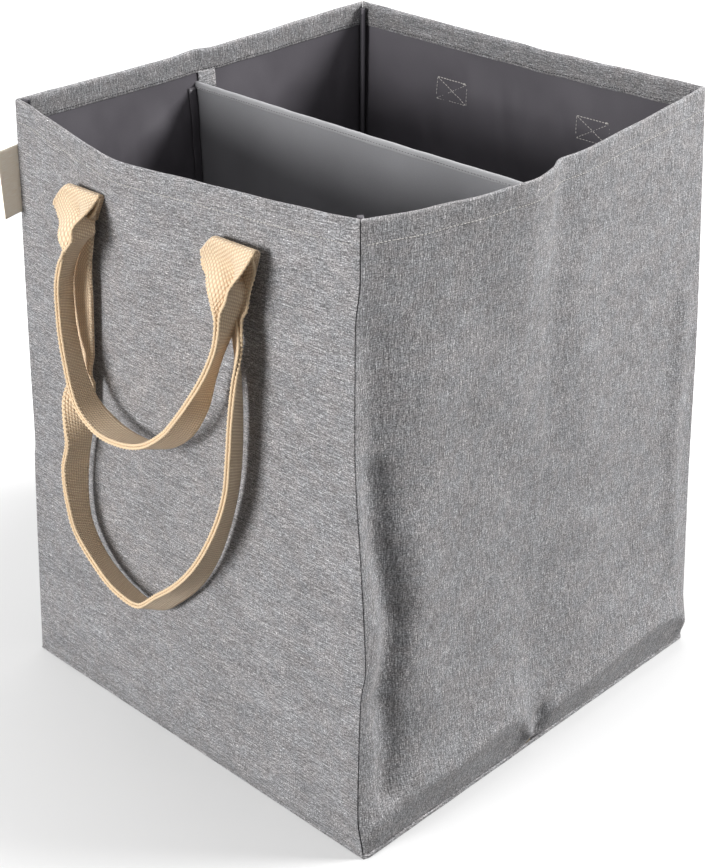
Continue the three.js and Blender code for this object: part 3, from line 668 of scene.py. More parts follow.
# %% A point of a wall
def wall_point(name, share, z, depth):
    """A point of a wall's layer: share runs from -1 to 1 along it, and depth is measured inwards."""
    wall = walls[name]
    half = half_length(wall, z)
    place = share * half
    up_share = z / HEIGHT
    at_rim = up_share ** SAG_POWER
    folds_free, ripples_free = 1 - share ** FOLDS_FREE_POWER, 1 - share ** RIPPLES_FREE_POWER
    out = plane_out(wall, z) + wall["belly"] * share_at(wall["shares"], share) * up_share ** BELLY_POWER
    out += fold_out(name, place, z) * folds_free + ripple(name, place, z) * ripples_free
    out += tuck_out(name, share, z)
    wave = noise.noise(Vector((place * RIM_WAVE_SCALE, len(name), 6)))
    drop = wall["sag"] * (1 - share * share) * at_rim + RIM_WAVE * wave * ripples_free * at_rim
    drop -= wall["peak"] * math.exp(-((place / PEAK_HALF) ** 2)) * up_share ** PEAK_POWER
    drop -= between(*(RIM_RISES[corner] for corner in wall["ends"]), (share + 1) / 2) * at_rim
    point = wall["along"] * place + wall["out"] * (out - depth)
    for corner, distance in zip(wall["ends"], (half + place, half - place)):
        point += corner_shift(corner, z) * math.exp(-distance / CORNER_SHIFT_REACH)
    point.z = z - drop
    return point


print("front wall's middle at the rim:", [round(c * 1000, 1) for c in wall_point("front", 0, HEIGHT, 0)])

# %% [markdown]
# ## Sheets of cloth
#
# Every cloth piece starts as a flat grid, as cloth on a cutting table does. A function then says where each
# crossing of the grid goes. The grid's own two numbers, in metres, stay on it as the Cloth map. A Solidify
# modifier gives the sheet its thickness afterwards, so inside and outside stay parallel. Each piece gets its
# finish when it is made, then hides the imported nodes it stands for and is attached to the body that carries
# it.

# %% Sewing a sheet
def sheet_grid(columns, rows, place):
    """A grid of cloth. place(i, j) gives the point and the metres of the crossing in column i and row j."""
    mesh = bmesh.new()
    bmesh.ops.create_grid(mesh, x_segments=columns - 1, y_segments=rows - 1, size=1)
    cloth = mesh.loops.layers.uv.new("Cloth")
    metres = {}
    for vert in mesh.verts:
        i = round((vert.co.x + 1) / 2 * (columns - 1))
        j = round((vert.co.y + 1) / 2 * (rows - 1))
        vert.co, metres[vert] = place(i, j)
    for face in mesh.faces:
        for loop in face.loops:
            loop[cloth].uv = metres[loop.vert]
    return mesh


def thicken(piece, thickness, inwards=True):
    """Give a sheet its thickness, to the inside of the hamper or to both sides."""
    solid = piece.modifiers.new("thickness", "SOLIDIFY")
    solid.thickness = thickness
    solid.offset = -1 if inwards else 0
    return piece


def join_frame(piece, slot, *nodes, body="bag"):
    """Hide the nodes of the frame that a piece stands for, and attach the piece to the body it moves with.
    The slot, what it is made of, is not used.
    """
    if nodes:
        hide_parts(*nodes)
    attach(piece, body)
    return piece


print("every sheet keeps its flat places as the map Cloth")

# %% [markdown]
# ## Outer walls
#
# Each wall is one cut of heather cloth. It rises from the base seam, rolls over the rim and comes down 20
# mm inside, where its edge is turned under and stitched: that band is the rim hem. At the sides the cloth
# rolls into the corner seam. Rows lie closer where the cloth bends, at the rim and the hem's edge, and
# columns lie closer at the corners.

# %% Rows and columns of a wall
ROW_STEP = 3.2 * MM
COLUMN_STEP_SHARE = 0.0165
ROLL_STEPS = 8
HEM_ROW_STEP = 1.5 * MM
EDGE_STEPS = 4
EDGE_ROLL = 1.7 * MM
EDGE_TURN = 0.9 * MM
CORNER_ROLL = 1.0 * MM
CORNER_COLUMNS = [0.98, 0.986, 0.99, 0.9935, 0.9965, 0.9985, 1.0]
EVEN_COLUMNS_TO = 0.972
SEAM_GAP = 0.15 * MM


def steps(low, high, step):
    """Even places from low to high, no further apart than a step."""
    count = max(1, math.ceil((high - low) / step))
    return [between(low, high, k / count) for k in range(count + 1)]


def wall_section():
    """The path of a wall's cloth as (height, depth): up the outside, over the rim and down the inside."""
    radius = HEM_DEPTH / 2
    rim_base = HEIGHT - radius
    path = [(z, 0.0) for z in steps(WALL_FOOT, rim_base, ROW_STEP)]
    for k in range(1, ROLL_STEPS):
        turn = math.pi * k / ROLL_STEPS
        path.append((rim_base + radius * math.sin(turn), radius * (1 - math.cos(turn))))
    hem_edge = HEIGHT - HEM_HEIGHT
    path += [(z, HEM_DEPTH) for z in reversed(steps(hem_edge + EDGE_ROLL, rim_base, HEM_ROW_STEP))]
    for k in range(1, EDGE_STEPS + 1):
        turn = math.pi / 2 * k / EDGE_STEPS
        depth = HEM_DEPTH - EDGE_TURN * (1 - math.cos(turn))
        path.append((hem_edge + EDGE_ROLL * (1 - math.sin(turn)), depth))
    return path


def wall_columns():
    """Shares along a wall, closer together at the corner seams."""
    even = steps(-EVEN_COLUMNS_TO, EVEN_COLUMNS_TO, COLUMN_STEP_SHARE)
    return [-share for share in reversed(CORNER_COLUMNS)] + even + CORNER_COLUMNS


def seam_turn(share, half):
    """How deep the cloth has rolled into the corner seam."""
    near = max(CORNER_ROLL - (1 - abs(share)) * half, 0) / CORNER_ROLL
    return CORNER_ROLL * (1 - math.sqrt(max(1 - near * near, 0)))


section = wall_section()
columns = wall_columns()
lengths = [0.0]
for start, end in zip(section, section[1:]):
    lengths.append(lengths[-1] + math.dist(start, end))
print("each wall:", len(columns), "columns,", len(section), "rows,", round(lengths[-1] * 1000), "mm of cloth")


# %% Outer walls with their rim hems
HEM_PUCKER = 0.35 * MM
HEM_PUCKER_PITCH = 21 * MM


def outer_wall(name, finish):
    """A wall's cloth with its hem, whose edge puckers between the stitches."""
    half = half_length(walls[name], HEIGHT / 2)

    def place(i, j):
        share, (z, depth) = columns[i], section[j]
        turned = seam_turn(share, half) * max(1 - 2 * depth / HEM_DEPTH, 0)
        inset = share * (1 - (turned + depth + SEAM_GAP * abs(share)) / half)
        pucker = 0
        if depth >= HEM_DEPTH and z < HEIGHT - HEM_HEIGHT / 2:
            pucker = HEM_PUCKER * math.sin(share * half * 2 * math.pi / HEM_PUCKER_PITCH)
            pucker *= noise.noise(Vector((share * 7, 0, 3)))
        point = wall_point(name, inset, z, depth + turned - pucker)
        return point, (share * half, lengths[j])

    piece = link_mesh(f"{name}_wall_cloth", sheet_grid(len(columns), len(section), place), finish)
    thicken(piece, OUTER_CLOTH)
    return join_frame(piece, "outer_cloth", f"outer_wall_{name}", f"rim_hem_{name}")


outer_walls = {name: outer_wall(name, heather_weft) for name in ("front", "back")}
outer_walls |= {name: outer_wall(name, heather_warp) for name in ("right", "left")}
for name, piece in outer_walls.items():
    print(name, "wall:", len(piece.data.polygons), "faces")

# %% [markdown]
# ## Lining
#
# The lining hangs just inside the outer cloth, from under the hem to the floor. It is the same surface at
# another depth, with some soft creases of its own that the light brings out.

# %% Lining walls
LINING_STEP = 4.5 * MM
LINING_WAVE = 1.6 * MM
LINING_CREASE = 2.4 * MM
LINING_CALM = 40 * MM
LINING_TUCK = 3 * MM
lining_base_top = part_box("lining_base_front_bin")[1][2]


def lining_wave(name, share, z):
    """How far a wall's lining stands inwards of its place."""
    seed = 40 + 7 * sorted(walls).index(name)
    free = (1 - share ** 4) * min(max((HEIGHT - HEM_HEIGHT - z) / LINING_CALM, 0), 1)
    slow = noise.noise(Vector((share * 3.1, z * 9, seed)))
    crease = abs(noise.noise(Vector((share * 8.3 + z * 9, z * 14 - share * 3, seed + 2))))
    return (LINING_WAVE * (1 + slow) + LINING_CREASE * crease) * free


def lining_wall(name):
    """A wall's lining, which ends inside the rim."""
    half = half_length(walls[name], HEIGHT / 2)
    heights = steps(WALL_FOOT, HEIGHT - LINING_TUCK, LINING_STEP)
    shares = steps(-1, 1, LINING_STEP / half)

    def place(i, j):
        share, z = shares[i], heights[j]
        inset = share * (1 - (LINING_DEPTH + 2 * LINING_CLOTH) / half)
        return wall_point(name, inset, z, LINING_DEPTH + lining_wave(name, share, z)), (share * half, z)

    piece = link_mesh(f"{name}_lining", sheet_grid(len(shares), len(heights), place), lining_finish)
    thicken(piece, LINING_CLOTH)
    return join_frame(piece, "lining_cloth", f"lining_{name}")


linings = {name: lining_wall(name) for name in walls}
print("lining walls:", [piece.name for piece in linings.values()])

# %% [markdown]
# ## Floor of the bag
#
# Under everything lies one cut of outer cloth. Each bin has a stiff board on it, so that the base stays
# flat, and a loose cut of lining over the board. The boards are rigid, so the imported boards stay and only
# get a finish.

# %% Base cloth and the bins' floors
BASE_STEP = 5 * MM
FLOOR_RIPPLE = 0.5 * MM
FLAT_EDGE = 20 * MM


def flat_sheet(name, node, finish, slot, thickness, unevenness):
    """A flat cut of cloth where a flat node of the frame lies, a little uneven on its upper side."""
    low, high = box_of(node)
    across = steps(low.x, high.x, BASE_STEP)
    deep = steps(low.y, high.y, BASE_STEP)

    def place(i, j):
        x, y = across[i], deep[j]
        rise = unevenness * (0.5 + noise.noise(Vector((x * 14, y * 14, 5))))
        edge = min(x - low.x, high.x - x, y - low.y, high.y - y)
        return (x, y, low.z + thickness + max(rise, 0) * min(edge / FLAT_EDGE, 1)), (x, y)

    piece = link_mesh(name, sheet_grid(len(across), len(deep), place), finish)
    return join_frame(thicken(piece, thickness), slot, node)


base_cloth = flat_sheet("base_cloth", "outer_base", heather_weft, "outer_cloth", OUTER_CLOTH, 0)
BINS = ("front_bin", "back_bin")
bin_floors = [
    flat_sheet(f"{bin_name}_floor_cloth", f"lining_base_{bin_name}", lining_finish, "lining_cloth",
               LINING_CLOTH, FLOOR_RIPPLE)
    for bin_name in BINS
]
print("flat cuts:", [piece.name for piece in [base_cloth, *bin_floors]])


# %% Board finish
def board_finish():
    """Pressed fibres, dark grey."""
    finish, tree, shader = new_material("fibre_board", 0.85)
    fibres = noise_value(tree, add_node(tree, "TexCoord").outputs["Object"], 420.0, 4.0)
    dress(tree, shader, blend_colour(tree, fibres, srgb(48, 47, 49), srgb(72, 71, 73)), fibres, 0.2, 0.0003)
    return finish


fibre_board = board_finish()
for bin_name in BINS:
    board = frame["nodes"][f"base_board_{bin_name}"]
    board.data.materials.clear()
    board.data.materials.append(fibre_board)
print("boards keep their packed shape")

# %% [markdown]
# ## Divider
#
# The divider is one panel of coated cloth across the middle. Its ends follow the lining of the side walls.
# It is slack, so it carries a few soft vertical waves that die away at its top edge, which the hem keeps
# straight. The hem is a folded strip over the edge.

# %% Divider panel
DIVIDER_STEP = 4 * MM
DIVIDER_CLOTH = 1.6 * MM
DIVIDER_WAVES = [(-0.78, 2.6, 0.10), (-0.5, -2.0, 0.13), (-0.16, 2.8, 0.09), (0.12, -2.4, 0.12),
                 (0.46, 2.2, 0.12), (0.76, -1.8, 0.1)]
CALM_TOP = 70 * MM
CALM_FOOT = 60 * MM
divider_low, divider_high = box_of("divider_panel")
divider_hem_low, divider_top = box_of("divider_top_hem")
divider_width = divider_high.x - divider_low.x
END_DEPTH = LINING_DEPTH + LINING_CLOTH + LAYER_GAP


def divider_wave(share, z):
    """How far the slack divider stands out of its plane."""
    calm = min(max((divider_top.z - z) / CALM_TOP, 0), 1) ** 0.8 * min((z - divider_low.z) / CALM_FOOT, 1)
    wave = sum(size * MM * math.exp(-((share - place) / width) ** 2) for place, size, width in DIVIDER_WAVES)
    small = 0.5 * MM * noise.noise(Vector((share * 6, z * 12, 9)))
    return (wave + small) * max(calm, 0) * (1 - share ** 8)


def divider_ends(z):
    """The x of the divider's left and right ends at a height."""
    return wall_point("left", 0, z, END_DEPTH).x, wall_point("right", 0, z, END_DEPTH).x


def divider_panel():
    """The slack panel, up to just inside its hem."""
    shares = steps(-1, 1, 2 * DIVIDER_STEP / divider_width)
    heights = steps(divider_low.z, divider_hem_low.z + 2 * MM, DIVIDER_STEP)

    def place(i, j):
        share, z = shares[i], heights[j]
        x = between(*divider_ends(z), (share + 1) / 2)
        return (x, divider_wave(share, z), z), (x, z)

    piece = link_mesh("divider_cloth", sheet_grid(len(shares), len(heights), place), divider_finish)
    thicken(piece, DIVIDER_CLOTH, inwards=False)
    return join_frame(piece, "divider_cloth", "divider_panel")


divider_cloth = divider_panel()
print("divider:", len(divider_cloth.data.polygons), "faces")

# %% Divider hem
DIVIDER_HEM_CLOTH = 0.8 * MM
HEM_HALF = DIVIDER_CLOTH / 2 + DIVIDER_HEM_CLOTH
HEM_UNEVEN = 0.35 * MM
HEM_SAG = 0.8 * MM


def hem_strip():
    """The strip that is folded over the divider's top edge."""
    shares = steps(-1, 1, 2 * DIVIDER_STEP / divider_width)
    crown = divider_top.z - HEM_HALF
    rise = steps(divider_hem_low.z, crown, 1 * MM)
    turns = [math.pi * k / 8 for k in range(1, 8)]
    path = [(-HEM_HALF, z) for z in rise]
    path += [(-HEM_HALF * math.cos(turn), crown + HEM_HALF * math.sin(turn)) for turn in turns]
    path += [(HEM_HALF, z) for z in reversed(rise)]

    def place(i, j):
        share, (y, z) = shares[i], path[j]
        x = between(*divider_ends(z), (share + 1) / 2)
        uneven = HEM_UNEVEN * noise.noise(Vector((share * 9, 2, 4)))
        sag = HEM_SAG * (1 - share * share)
        return (x, y + divider_wave(share, z) + uneven, z - sag + uneven), (x, j * MM)

    piece = link_mesh("divider_hem", sheet_grid(len(shares), len(path), place), divider_hem_finish)
    thicken(piece, DIVIDER_HEM_CLOTH)
    return join_frame(piece, "divider_cloth", "divider_top_hem")


divider_hem = hem_strip()
print("divider hem is", round((divider_top.z - divider_hem_low.z) * 1000), "mm high")

# %% [markdown]
# ### Strips beside the divider
#
# The divider's ends are sewn to the side walls with a seam allowance that lies flat on the lining. Behind
# each of its top corners a small patch of outer cloth comes out from under the hem, so the patch is made a
# little higher than its node, up to under the hem.

# %% Seam allowances and patches on the lining
STRIP_CLOTH = 0.7 * MM
STRIP_EDGE = 0.4 * MM
STRIP_SWAY = 0.8 * MM
PATCH_UNDER_HEM = 7 * MM
ALLOWANCE_DEPTH = LINING_DEPTH + LINING_CLOTH + 0.8 * MM


def strip_on_wall(name, wall_name, node, finish, slot, top):
    """A narrow strip that lies flat on a wall's lining, where a node of the frame is, up to a height."""
    wall = walls[wall_name]
    low, high = box_of(node)
    reach = sorted((low.dot(wall["along"]), high.dot(wall["along"])))
    places = steps(reach[0], reach[1], 1.2 * MM)
    heights = steps(low.z, max(high.z, top), 5 * MM)

    def place(i, j):
        z = heights[j]
        at = places[i] + STRIP_SWAY * noise.noise(Vector((z * 25, 1, 8)))
        edge = min(at - reach[0], reach[1] - at) / STRIP_CLOTH
        share = at / half_length(wall, z)
        depth = ALLOWANCE_DEPTH - STRIP_EDGE * (1 - min(max(edge, 0), 1)) + lining_wave(wall_name, share, z)
        return wall_point(wall_name, share, z, depth), (at, z)

    piece = link_mesh(name, sheet_grid(len(places), len(heights), place), finish)
    join_frame(thicken(piece, STRIP_CLOTH), slot, node)


for side in ("left", "right"):
    strip_on_wall(f"divider_allowance_{side}", side, f"divider_seam_{side}", lining_finish, "seam_binding",
                  top=divider_top.z - 1 * MM)
    strip_on_wall(f"divider_corner_patch_{side}", side, f"divider_patch_{side}", heather_weft, "outer_cloth",
                  top=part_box(f"rim_hem_{side}")[0][2] + PATCH_UNDER_HEM)
print("the divider's seam allowances lie on the side linings")

# %% [markdown]
# ## Seams along a path
#
# Cords, tapes and piping are a small section carried along a path. A grid can be rolled up to make one: its
# columns are the stations of the path, its rows go round the section, and remove_doubles sews the last row
# to the first.

# %% Rolling a grid along a path
def rolled(name, stations, section_at, finish, closed=False):
    """A tube through stations. section_at(i) gives as many points round every station."""
    rings = [section_at(i) for i in range(len(stations))]
    count = len(rings[0])
    total = [0.0]
    for start, end in zip(stations, stations[1:]):
        total.append(total[-1] + (Vector(end) - Vector(start)).length)
    girth = [0.0]
    for k in range(count):
        girth.append(girth[-1] + (Vector(rings[0][k]) - Vector(rings[0][(k + 1) % count])).length)

    def place(i, j):
        at = i % len(rings)
        return rings[at][j % count], (total[at], girth[j])

    mesh = sheet_grid(len(stations) + closed, count + 1, place)
    bmesh.ops.remove_doubles(mesh, verts=mesh.verts, dist=1e-6)
    if not closed:
        bmesh.ops.holes_fill(mesh, edges=[edge for edge in mesh.edges if edge.is_boundary], sides=count)
    bmesh.ops.recalc_face_normals(mesh, faces=mesh.faces)
    return link_mesh(name, mesh, finish)


def frame_along(points, outs):
    """For each point of a path: the point, its way out at a right angle to the path, and the way across."""
    spots = []
    for k, (point, out) in enumerate(zip(points, outs)):
        way = (points[min(k + 1, len(points) - 1)] - points[max(k - 1, 0)]).normalized()
        away = (out - way * out.dot(way)).normalized()
        spots.append((point, away, way.cross(away)))
    return spots


def ring(spot, size, count=6, flat=1.0):
    """A round section at a spot of a path, which is flatter outwards where flat is less than 1."""
    point, away, across = spot
    turns = [2 * math.pi * n / count for n in range(count)]
    return [point + (away * math.cos(turn) * flat + across * math.sin(turn)) * size for turn in turns]


# %% Bound seams in the inside corners
BINDING_HALF = 2.3 * MM
BINDING_REACH = 5.5 * MM
BINDING_START = HEM_DEPTH + 0.8 * MM
BINDING_SWAY = 0.6 * MM
BINDING_OUTLINE = [
    (0, -1), (0.62, -1), (0.72, -0.78), (0.8, -0.9), (0.9, -0.86), (1.0, -0.55), (1.03, 0), (1.0, 0.55),
    (0.9, 0.86), (0.8, 0.9), (0.72, 0.78), (0.62, 1), (0, 1),
]
EDGE_SHADE_CORD = 0.62 * MM
CORNERS = {
    "front_left": Vector((-1, -1, 0)), "front_right": Vector((1, -1, 0)),
    "back_right": Vector((1, 1, 0)), "back_left": Vector((-1, 1, 0)),
}


def corner_point(corner, z, depth):
    """A point on the diagonal of a corner, inwards by a depth on both walls."""
    sign = CORNERS[corner]
    point = Vector((
        sign.x * (between(FLOOR_HALF_X, RIM_HALF_X, z / HEIGHT) - depth),
        sign.y * (between(FLOOR_HALF_Y, RIM_HALF_Y, z / HEIGHT) - depth),
        z,
    ))
    return point + corner_shift(corner, z)


def corner_binding(corner):
    """The bound seam that stands into the bag from a corner, with a near-black cord along each of its edges
    as painted shade.
    """
    inward = -CORNERS[corner].normalized()
    sway = Vector((1, -1, 0)) * CORNERS[corner].x * CORNERS[corner].y * BINDING_SWAY
    path = [
        corner_point(corner, z, BINDING_START) + sway * noise.noise(Vector((z * 14, 3, 1)))
        for z in steps(lining_base_top + LAYER_GAP, HEIGHT - 0.5 * MM, 5 * MM)
    ]
    spots = frame_along(path, [inward] * len(path))

    def section_at(i):
        point, away, across = spots[i]
        return [point + away * (BINDING_REACH * a) + across * (BINDING_HALF * b) for a, b in BINDING_OUTLINE]

    piece = rolled(f"bound_seam_{corner}", path, section_at, lining_finish)
    join_frame(piece, "seam_binding", f"corner_binding_{corner}")
    # The near-black cords along both edges are painted shade of the gaps beside the binding.
    for side, side_name in ((-1, "a"), (1, "b")):
        edge = [point + away * (BINDING_REACH * 0.97) + across * (BINDING_HALF * 0.82 * side)
                for point, away, across in spots]
        edge_spots = frame_along(edge, [inward] * len(edge))
        cord = rolled(f"bound_seam_shade_cord_{corner}_{side_name}", edge,
                      lambda i: ring(edge_spots[i], EDGE_SHADE_CORD), seam_thread_and_shade_finish)
        join_frame(cord, "seam_binding")
    return piece


for corner in CORNERS:
    bound_seam = corner_binding(corner)
    print(bound_seam.name, "has", len(bound_seam.data.polygons), "faces")


# %% Outside corner seams
SEAM_DEPTH = 1.25 * MM
SEAM_SIZES = (0.6 * MM, 0.95 * MM)


def corner_seam(corner):
    """The dark line where two walls are sewn together: thread at the bottom of the valley between them."""
    path = [corner_point(corner, z, SEAM_DEPTH) for z in steps(2.5 * MM, HEIGHT - 2 * MM, 1.6 * MM)]
    spots = frame_along(path, [CORNERS[corner].normalized()] * len(path))
    piece = rolled(f"corner_seam_{corner}", path, lambda i: ring(spots[i], SEAM_SIZES[i % 2]), seam_thread_and_shade_finish)
    return join_frame(piece, "seam_binding")


for corner in CORNERS:
    thread_seam = corner_seam(corner)
    print(thread_seam.name, "has", len(thread_seam.data.polygons), "faces")


# %% Base seam
BASE_LIPS = [(0.2, 0.5), (1.7, 0.5), (2.2, 0.75), (2.35, 1.15), (2.2, 1.6), (1.1, 1.95), (2.2, 2.3),
             (2.35, 2.75), (2.2, 3.2), (1.7, 3.45), (0.2, 3.45)]
BASE_CORNER = 5 * MM
BASE_SEAM_STEP = 6 * MM
LIP_SHARES = {"front": 0.25, "right": 1.0, "back": 0.6, "left": 0.6}


def base_seam():
    """Two lips of cloth, sewn edge to edge all round the foot of the walls."""
    path, outs = [], []
    for corner in ("front_right", "back_right", "back_left", "front_left"):
        sign = CORNERS[corner]
        centre = Vector((sign.x * (FLOOR_HALF_X - BASE_CORNER), sign.y * (FLOOR_HALF_Y - BASE_CORNER), 0))
        first = math.atan2(sign.y, sign.x) - math.pi / 4
        for k in range(7):
            turn = first + math.pi / 2 * k / 6
            outs.append(Vector((math.cos(turn), math.sin(turn), 0)))
            path.append(centre + outs[-1] * BASE_CORNER)
    full_path, full_outs = [], []
    for k, point in enumerate(path):
        following = path[(k + 1) % len(path)]
        count = max(1, round((following - point).length / BASE_SEAM_STEP))
        for n in range(count):
            full_path.append(point.lerp(following, n / count))
            full_outs.append(outs[k].lerp(outs[(k + 1) % len(outs)], n / count).normalized())

    def section_at(i):
        point, out = full_path[i], full_outs[i]
        sway = 0.25 * MM * noise.noise(point * 40)
        lift = 0.2 * MM * noise.noise(point * 55 + Vector((9, 0, 0)))
        proud = sum(LIP_SHARES[name] * max(out.dot(wall["out"]), 0) ** 2 for name, wall in walls.items())
        return [point + out * (0.2 * MM + proud * ((a - 0.2) * MM + sway * (a > 1)))
                + Vector((0, 0, b * MM + lift * (b > 2))) for a, b in BASE_LIPS]

    piece = rolled("base_seam_lips", full_path, section_at, heather_weft, closed=True)
    return join_frame(piece, "outer_cloth", "base_seam_piping")


lips = base_seam()
print("base seam:", len(lips.data.polygons), "faces all round")

# %% [markdown]
# ## Stitches
#
# A row of machine stitches is many short threads. Each one is a small capsule of a few dozen faces, laid
# along a path on the cloth. All the stitches of a row are one mesh.

# %% Rows of stitches
STITCH_PITCH = 3.0 * MM
STITCH_LENGTH = 2.2 * MM
STITCH_RADIUS = 0.38 * MM


def thread_finish(name, base, roughness=0.7):
    """Thread of a colour, darker between its fibres."""
    finish, tree, shader = new_material(name, roughness, sheen=0.15)
    fibres = noise_value(tree, add_node(tree, "TexCoord").outputs["Object"], 1500.0, 2.0)
    darker = tuple(0.72 * c for c in base[:3]) + (1,)
    dress(tree, shader, blend_colour(tree, fibres, darker, base), fibres, 0.4, 0.0002)
    return finish


beige_thread = thread_finish("beige_thread", srgb(214, 196, 160))
grey_thread = thread_finish("grey_thread", srgb(120, 119, 121))
light_thread = thread_finish("light_grey_thread", srgb(206, 202, 197))
dark_thread = thread_finish("dark_thread", srgb(46, 45, 48))


def stitch_shape():
    """A ball of a few faces, which every stitch is stretched from."""
    ball = bmesh.new()
    bmesh.ops.create_uvsphere(ball, u_segments=6, v_segments=4, radius=1)
    shape = bpy.data.meshes.new("stitch_shape")
    ball.to_mesh(shape)
    ball.free()
    return shape


one_stitch = stitch_shape()


def add_stitch(mesh, start, end, away, radius):
    """One stitch: a small capsule from start to end, which lies on the cloth."""
    way = end - start
    turn = way.to_track_quat("Z", "Y").to_matrix().to_4x4()
    size = Matrix.Diagonal((radius, radius, way.length / 2, 1))
    spot = Matrix.Translation((start + end) / 2 + away * radius * 0.4)
    shape = one_stitch.copy()
    shape.transform(spot @ turn @ size)
    mesh.from_mesh(shape)
    bpy.data.meshes.remove(shape)


def stitch_row(mesh, point_at, length, away, radius=STITCH_RADIUS, pitch=STITCH_PITCH, stitch=STITCH_LENGTH):
    """Stitches along a path: point_at takes metres along it, and away is the way out of the cloth."""
    for k in range(int(length / pitch)):
        start = k * pitch + (pitch - stitch) / 2
        add_stitch(mesh, point_at(start), point_at(start + stitch), away, radius)


def sew(name, mesh, finish, *nodes):
    """Make a mesh of stitches a piece."""
    join_frame(link_mesh(name, mesh, finish), "thread", *nodes)


print("one stitch:", len(one_stitch.polygons), "faces")


# %% Stitches of the rim hem, inside and outside
HEM_STITCH_RISE = 2.6 * MM
HEM_STITCH_SWAY = 0.5 * MM
HEM_STITCH_END = 4 * MM

for name, wall in walls.items():
    z = HEIGHT - HEM_HEIGHT + HEM_STITCH_RISE
    half = half_length(wall, z)
    faces = (("inside", HEM_DEPTH, -1, dark_thread), ("outside", 0, 1, light_thread))
    for where, depth, sign, thread in faces:
        reach = half - depth - HEM_STITCH_END

        def hem_point(run):
            sway = HEM_STITCH_SWAY * noise.noise(Vector((run * 30, 0, 0)))
            return wall_point(name, (run - reach) / half, z + sway, depth)

        mesh = bmesh.new()
        stitch_row(mesh, hem_point, 2 * reach, wall["out"] * sign)
        sew(f"hem_stitches_{where}_{name}", mesh, thread)
print("rim hem stitches in", 2 * len(walls), "rows")

# %% Stitches of the divider hem
DIVIDER_STITCH_END = 5 * MM
DIVIDER_STITCH_RISE = 1.4 * MM

mesh = bmesh.new()
for sign in (-1, 1):
    x, y = divider_low.x + DIVIDER_STITCH_END, sign * (HEM_HALF + 0.1 * MM)
    z = divider_hem_low.z + DIVIDER_STITCH_RISE
    length = divider_width - 2 * DIVIDER_STITCH_END
    stitch_row(mesh, lambda run: Vector((x + run, y, z)), length, Vector((0, sign, 0)))
sew("divider_hem_stitches", mesh, grey_thread)
print("divider hem stitches on both faces")

# %% Bar tacks at the foot of the divider's seams
TACK_THREADS = 5
TACK_LEAN = 0.6 * MM
TACK_RADIUS = 0.3 * MM
TACK_REACH = (-1.2 * MM, 2.2 * MM)

for side in ("left", "right"):
    node = f"divider_foot_tack_{side}"
    low, high = box_of(node)
    wall = walls[side]
    middle = (low + high) / 2
    face_x = wall_point(side, middle.dot(wall["along"]) / FLOOR_HALF_Y, middle.z, 0).x
    mesh = bmesh.new()
    random.seed(11)
    for k in range(TACK_THREADS):
        y = between(low.y, high.y, 0.25 + 0.5 * k / (TACK_THREADS - 1))
        lean = random.uniform(-TACK_LEAN, TACK_LEAN)
        start = Vector((face_x, y - lean, middle.z + TACK_REACH[0]))
        end = Vector((face_x, y + lean, middle.z + TACK_REACH[1]))
        add_stitch(mesh, start, end, wall["out"], TACK_RADIUS)
    sew(f"foot_tack_{side}", mesh, beige_thread, node)
print("foot tacks of", TACK_THREADS, "threads")

# %% [markdown]
# ## Label
#
# A short tape is folded double and caught in the seam of the front left corner. It is blank. Its fold is
# the outer edge. It stands out of the seam, leans by LABEL_LEAN at its fold, and curls a little more
# towards its top.

# %% Label finish
def label_finish():
    """Off-white tape with fine ribs."""
    finish, tree, shader = new_material("label_tape", 0.7, sheen=0.2)
    along, upwards = cloth_map(tree)
    ribs = use_group(tree, yarn_dashes, Along=along, Across=upwards, Length=0.006, Width=0.0004, Seed=2.0)
    colour = blend_colour(tree, mapped(tree, ribs, 0.3, 0.7), srgb(246, 232, 210), srgb(255, 248, 234))
    dress(tree, shader, colour, ribs, 0.3, 0.0002)
    return finish


# %% Label
LABEL_CLOTH = 0.35 * MM
LABEL_CURL = 2.2 * MM
LABEL_TUCK = 4 * MM
LABEL_LEAN = -4 * MM
LABEL_SAG = 0.9 * MM
LABEL_HALF_GAP = 0.45 * MM


def side_label():
    """The folded tape: out from the seam, round its fold and back."""
    low, high = box_of("side_label")
    reach = high.y - low.y
    heights = steps(low.z, high.z, 2.5 * MM)
    outs = steps(0, reach - LABEL_HALF_GAP, 1.5 * MM)
    turns = [math.pi * k / 6 for k in range(1, 6)]
    path = [(out, -LABEL_HALF_GAP) for out in outs]
    path += [(outs[-1] + LABEL_HALF_GAP * math.sin(turn), -LABEL_HALF_GAP * math.cos(turn)) for turn in turns]
    path += [(out, LABEL_HALF_GAP) for out in reversed(outs)]
    middle_x = (low.x + high.x) / 2

    def place(i, j):
        out, side = path[i]
        z = heights[j]
        lift = (z - low.z) / (high.z - low.z)
        curl = LABEL_CURL * (out / reach) ** 2 * (lift - 0.4) + LABEL_LEAN * out / reach
        y = high.y + LABEL_TUCK - out * (1 + LABEL_TUCK / reach)
        return (middle_x + side - curl, y, z - LABEL_SAG * out / reach), (out, z)

    piece = link_mesh("blank_side_label", sheet_grid(len(path), len(heights), place), label_finish())
    return join_frame(thicken(piece, LABEL_CLOTH), "label_cloth", "side_label")


label = side_label()
print("blank label of", len(label.data.polygons), "faces")

# %% [markdown]
# ## Webbing
#
# The handles are cotton webbing, 50 mm wide. Its thick yarns pass over and under each other, so narrow
# columns of small bumps run along it, and the bumps of one column lie beside the gaps of the next. Its two
# edges are selvedges, where the weft turns round and makes a row of small teeth. The pattern reads the
# webbing's own map, whose first number runs across it.

# %% Webbing finish
WEB_COLUMN = 0.0023
WEB_BUMP = 0.0026


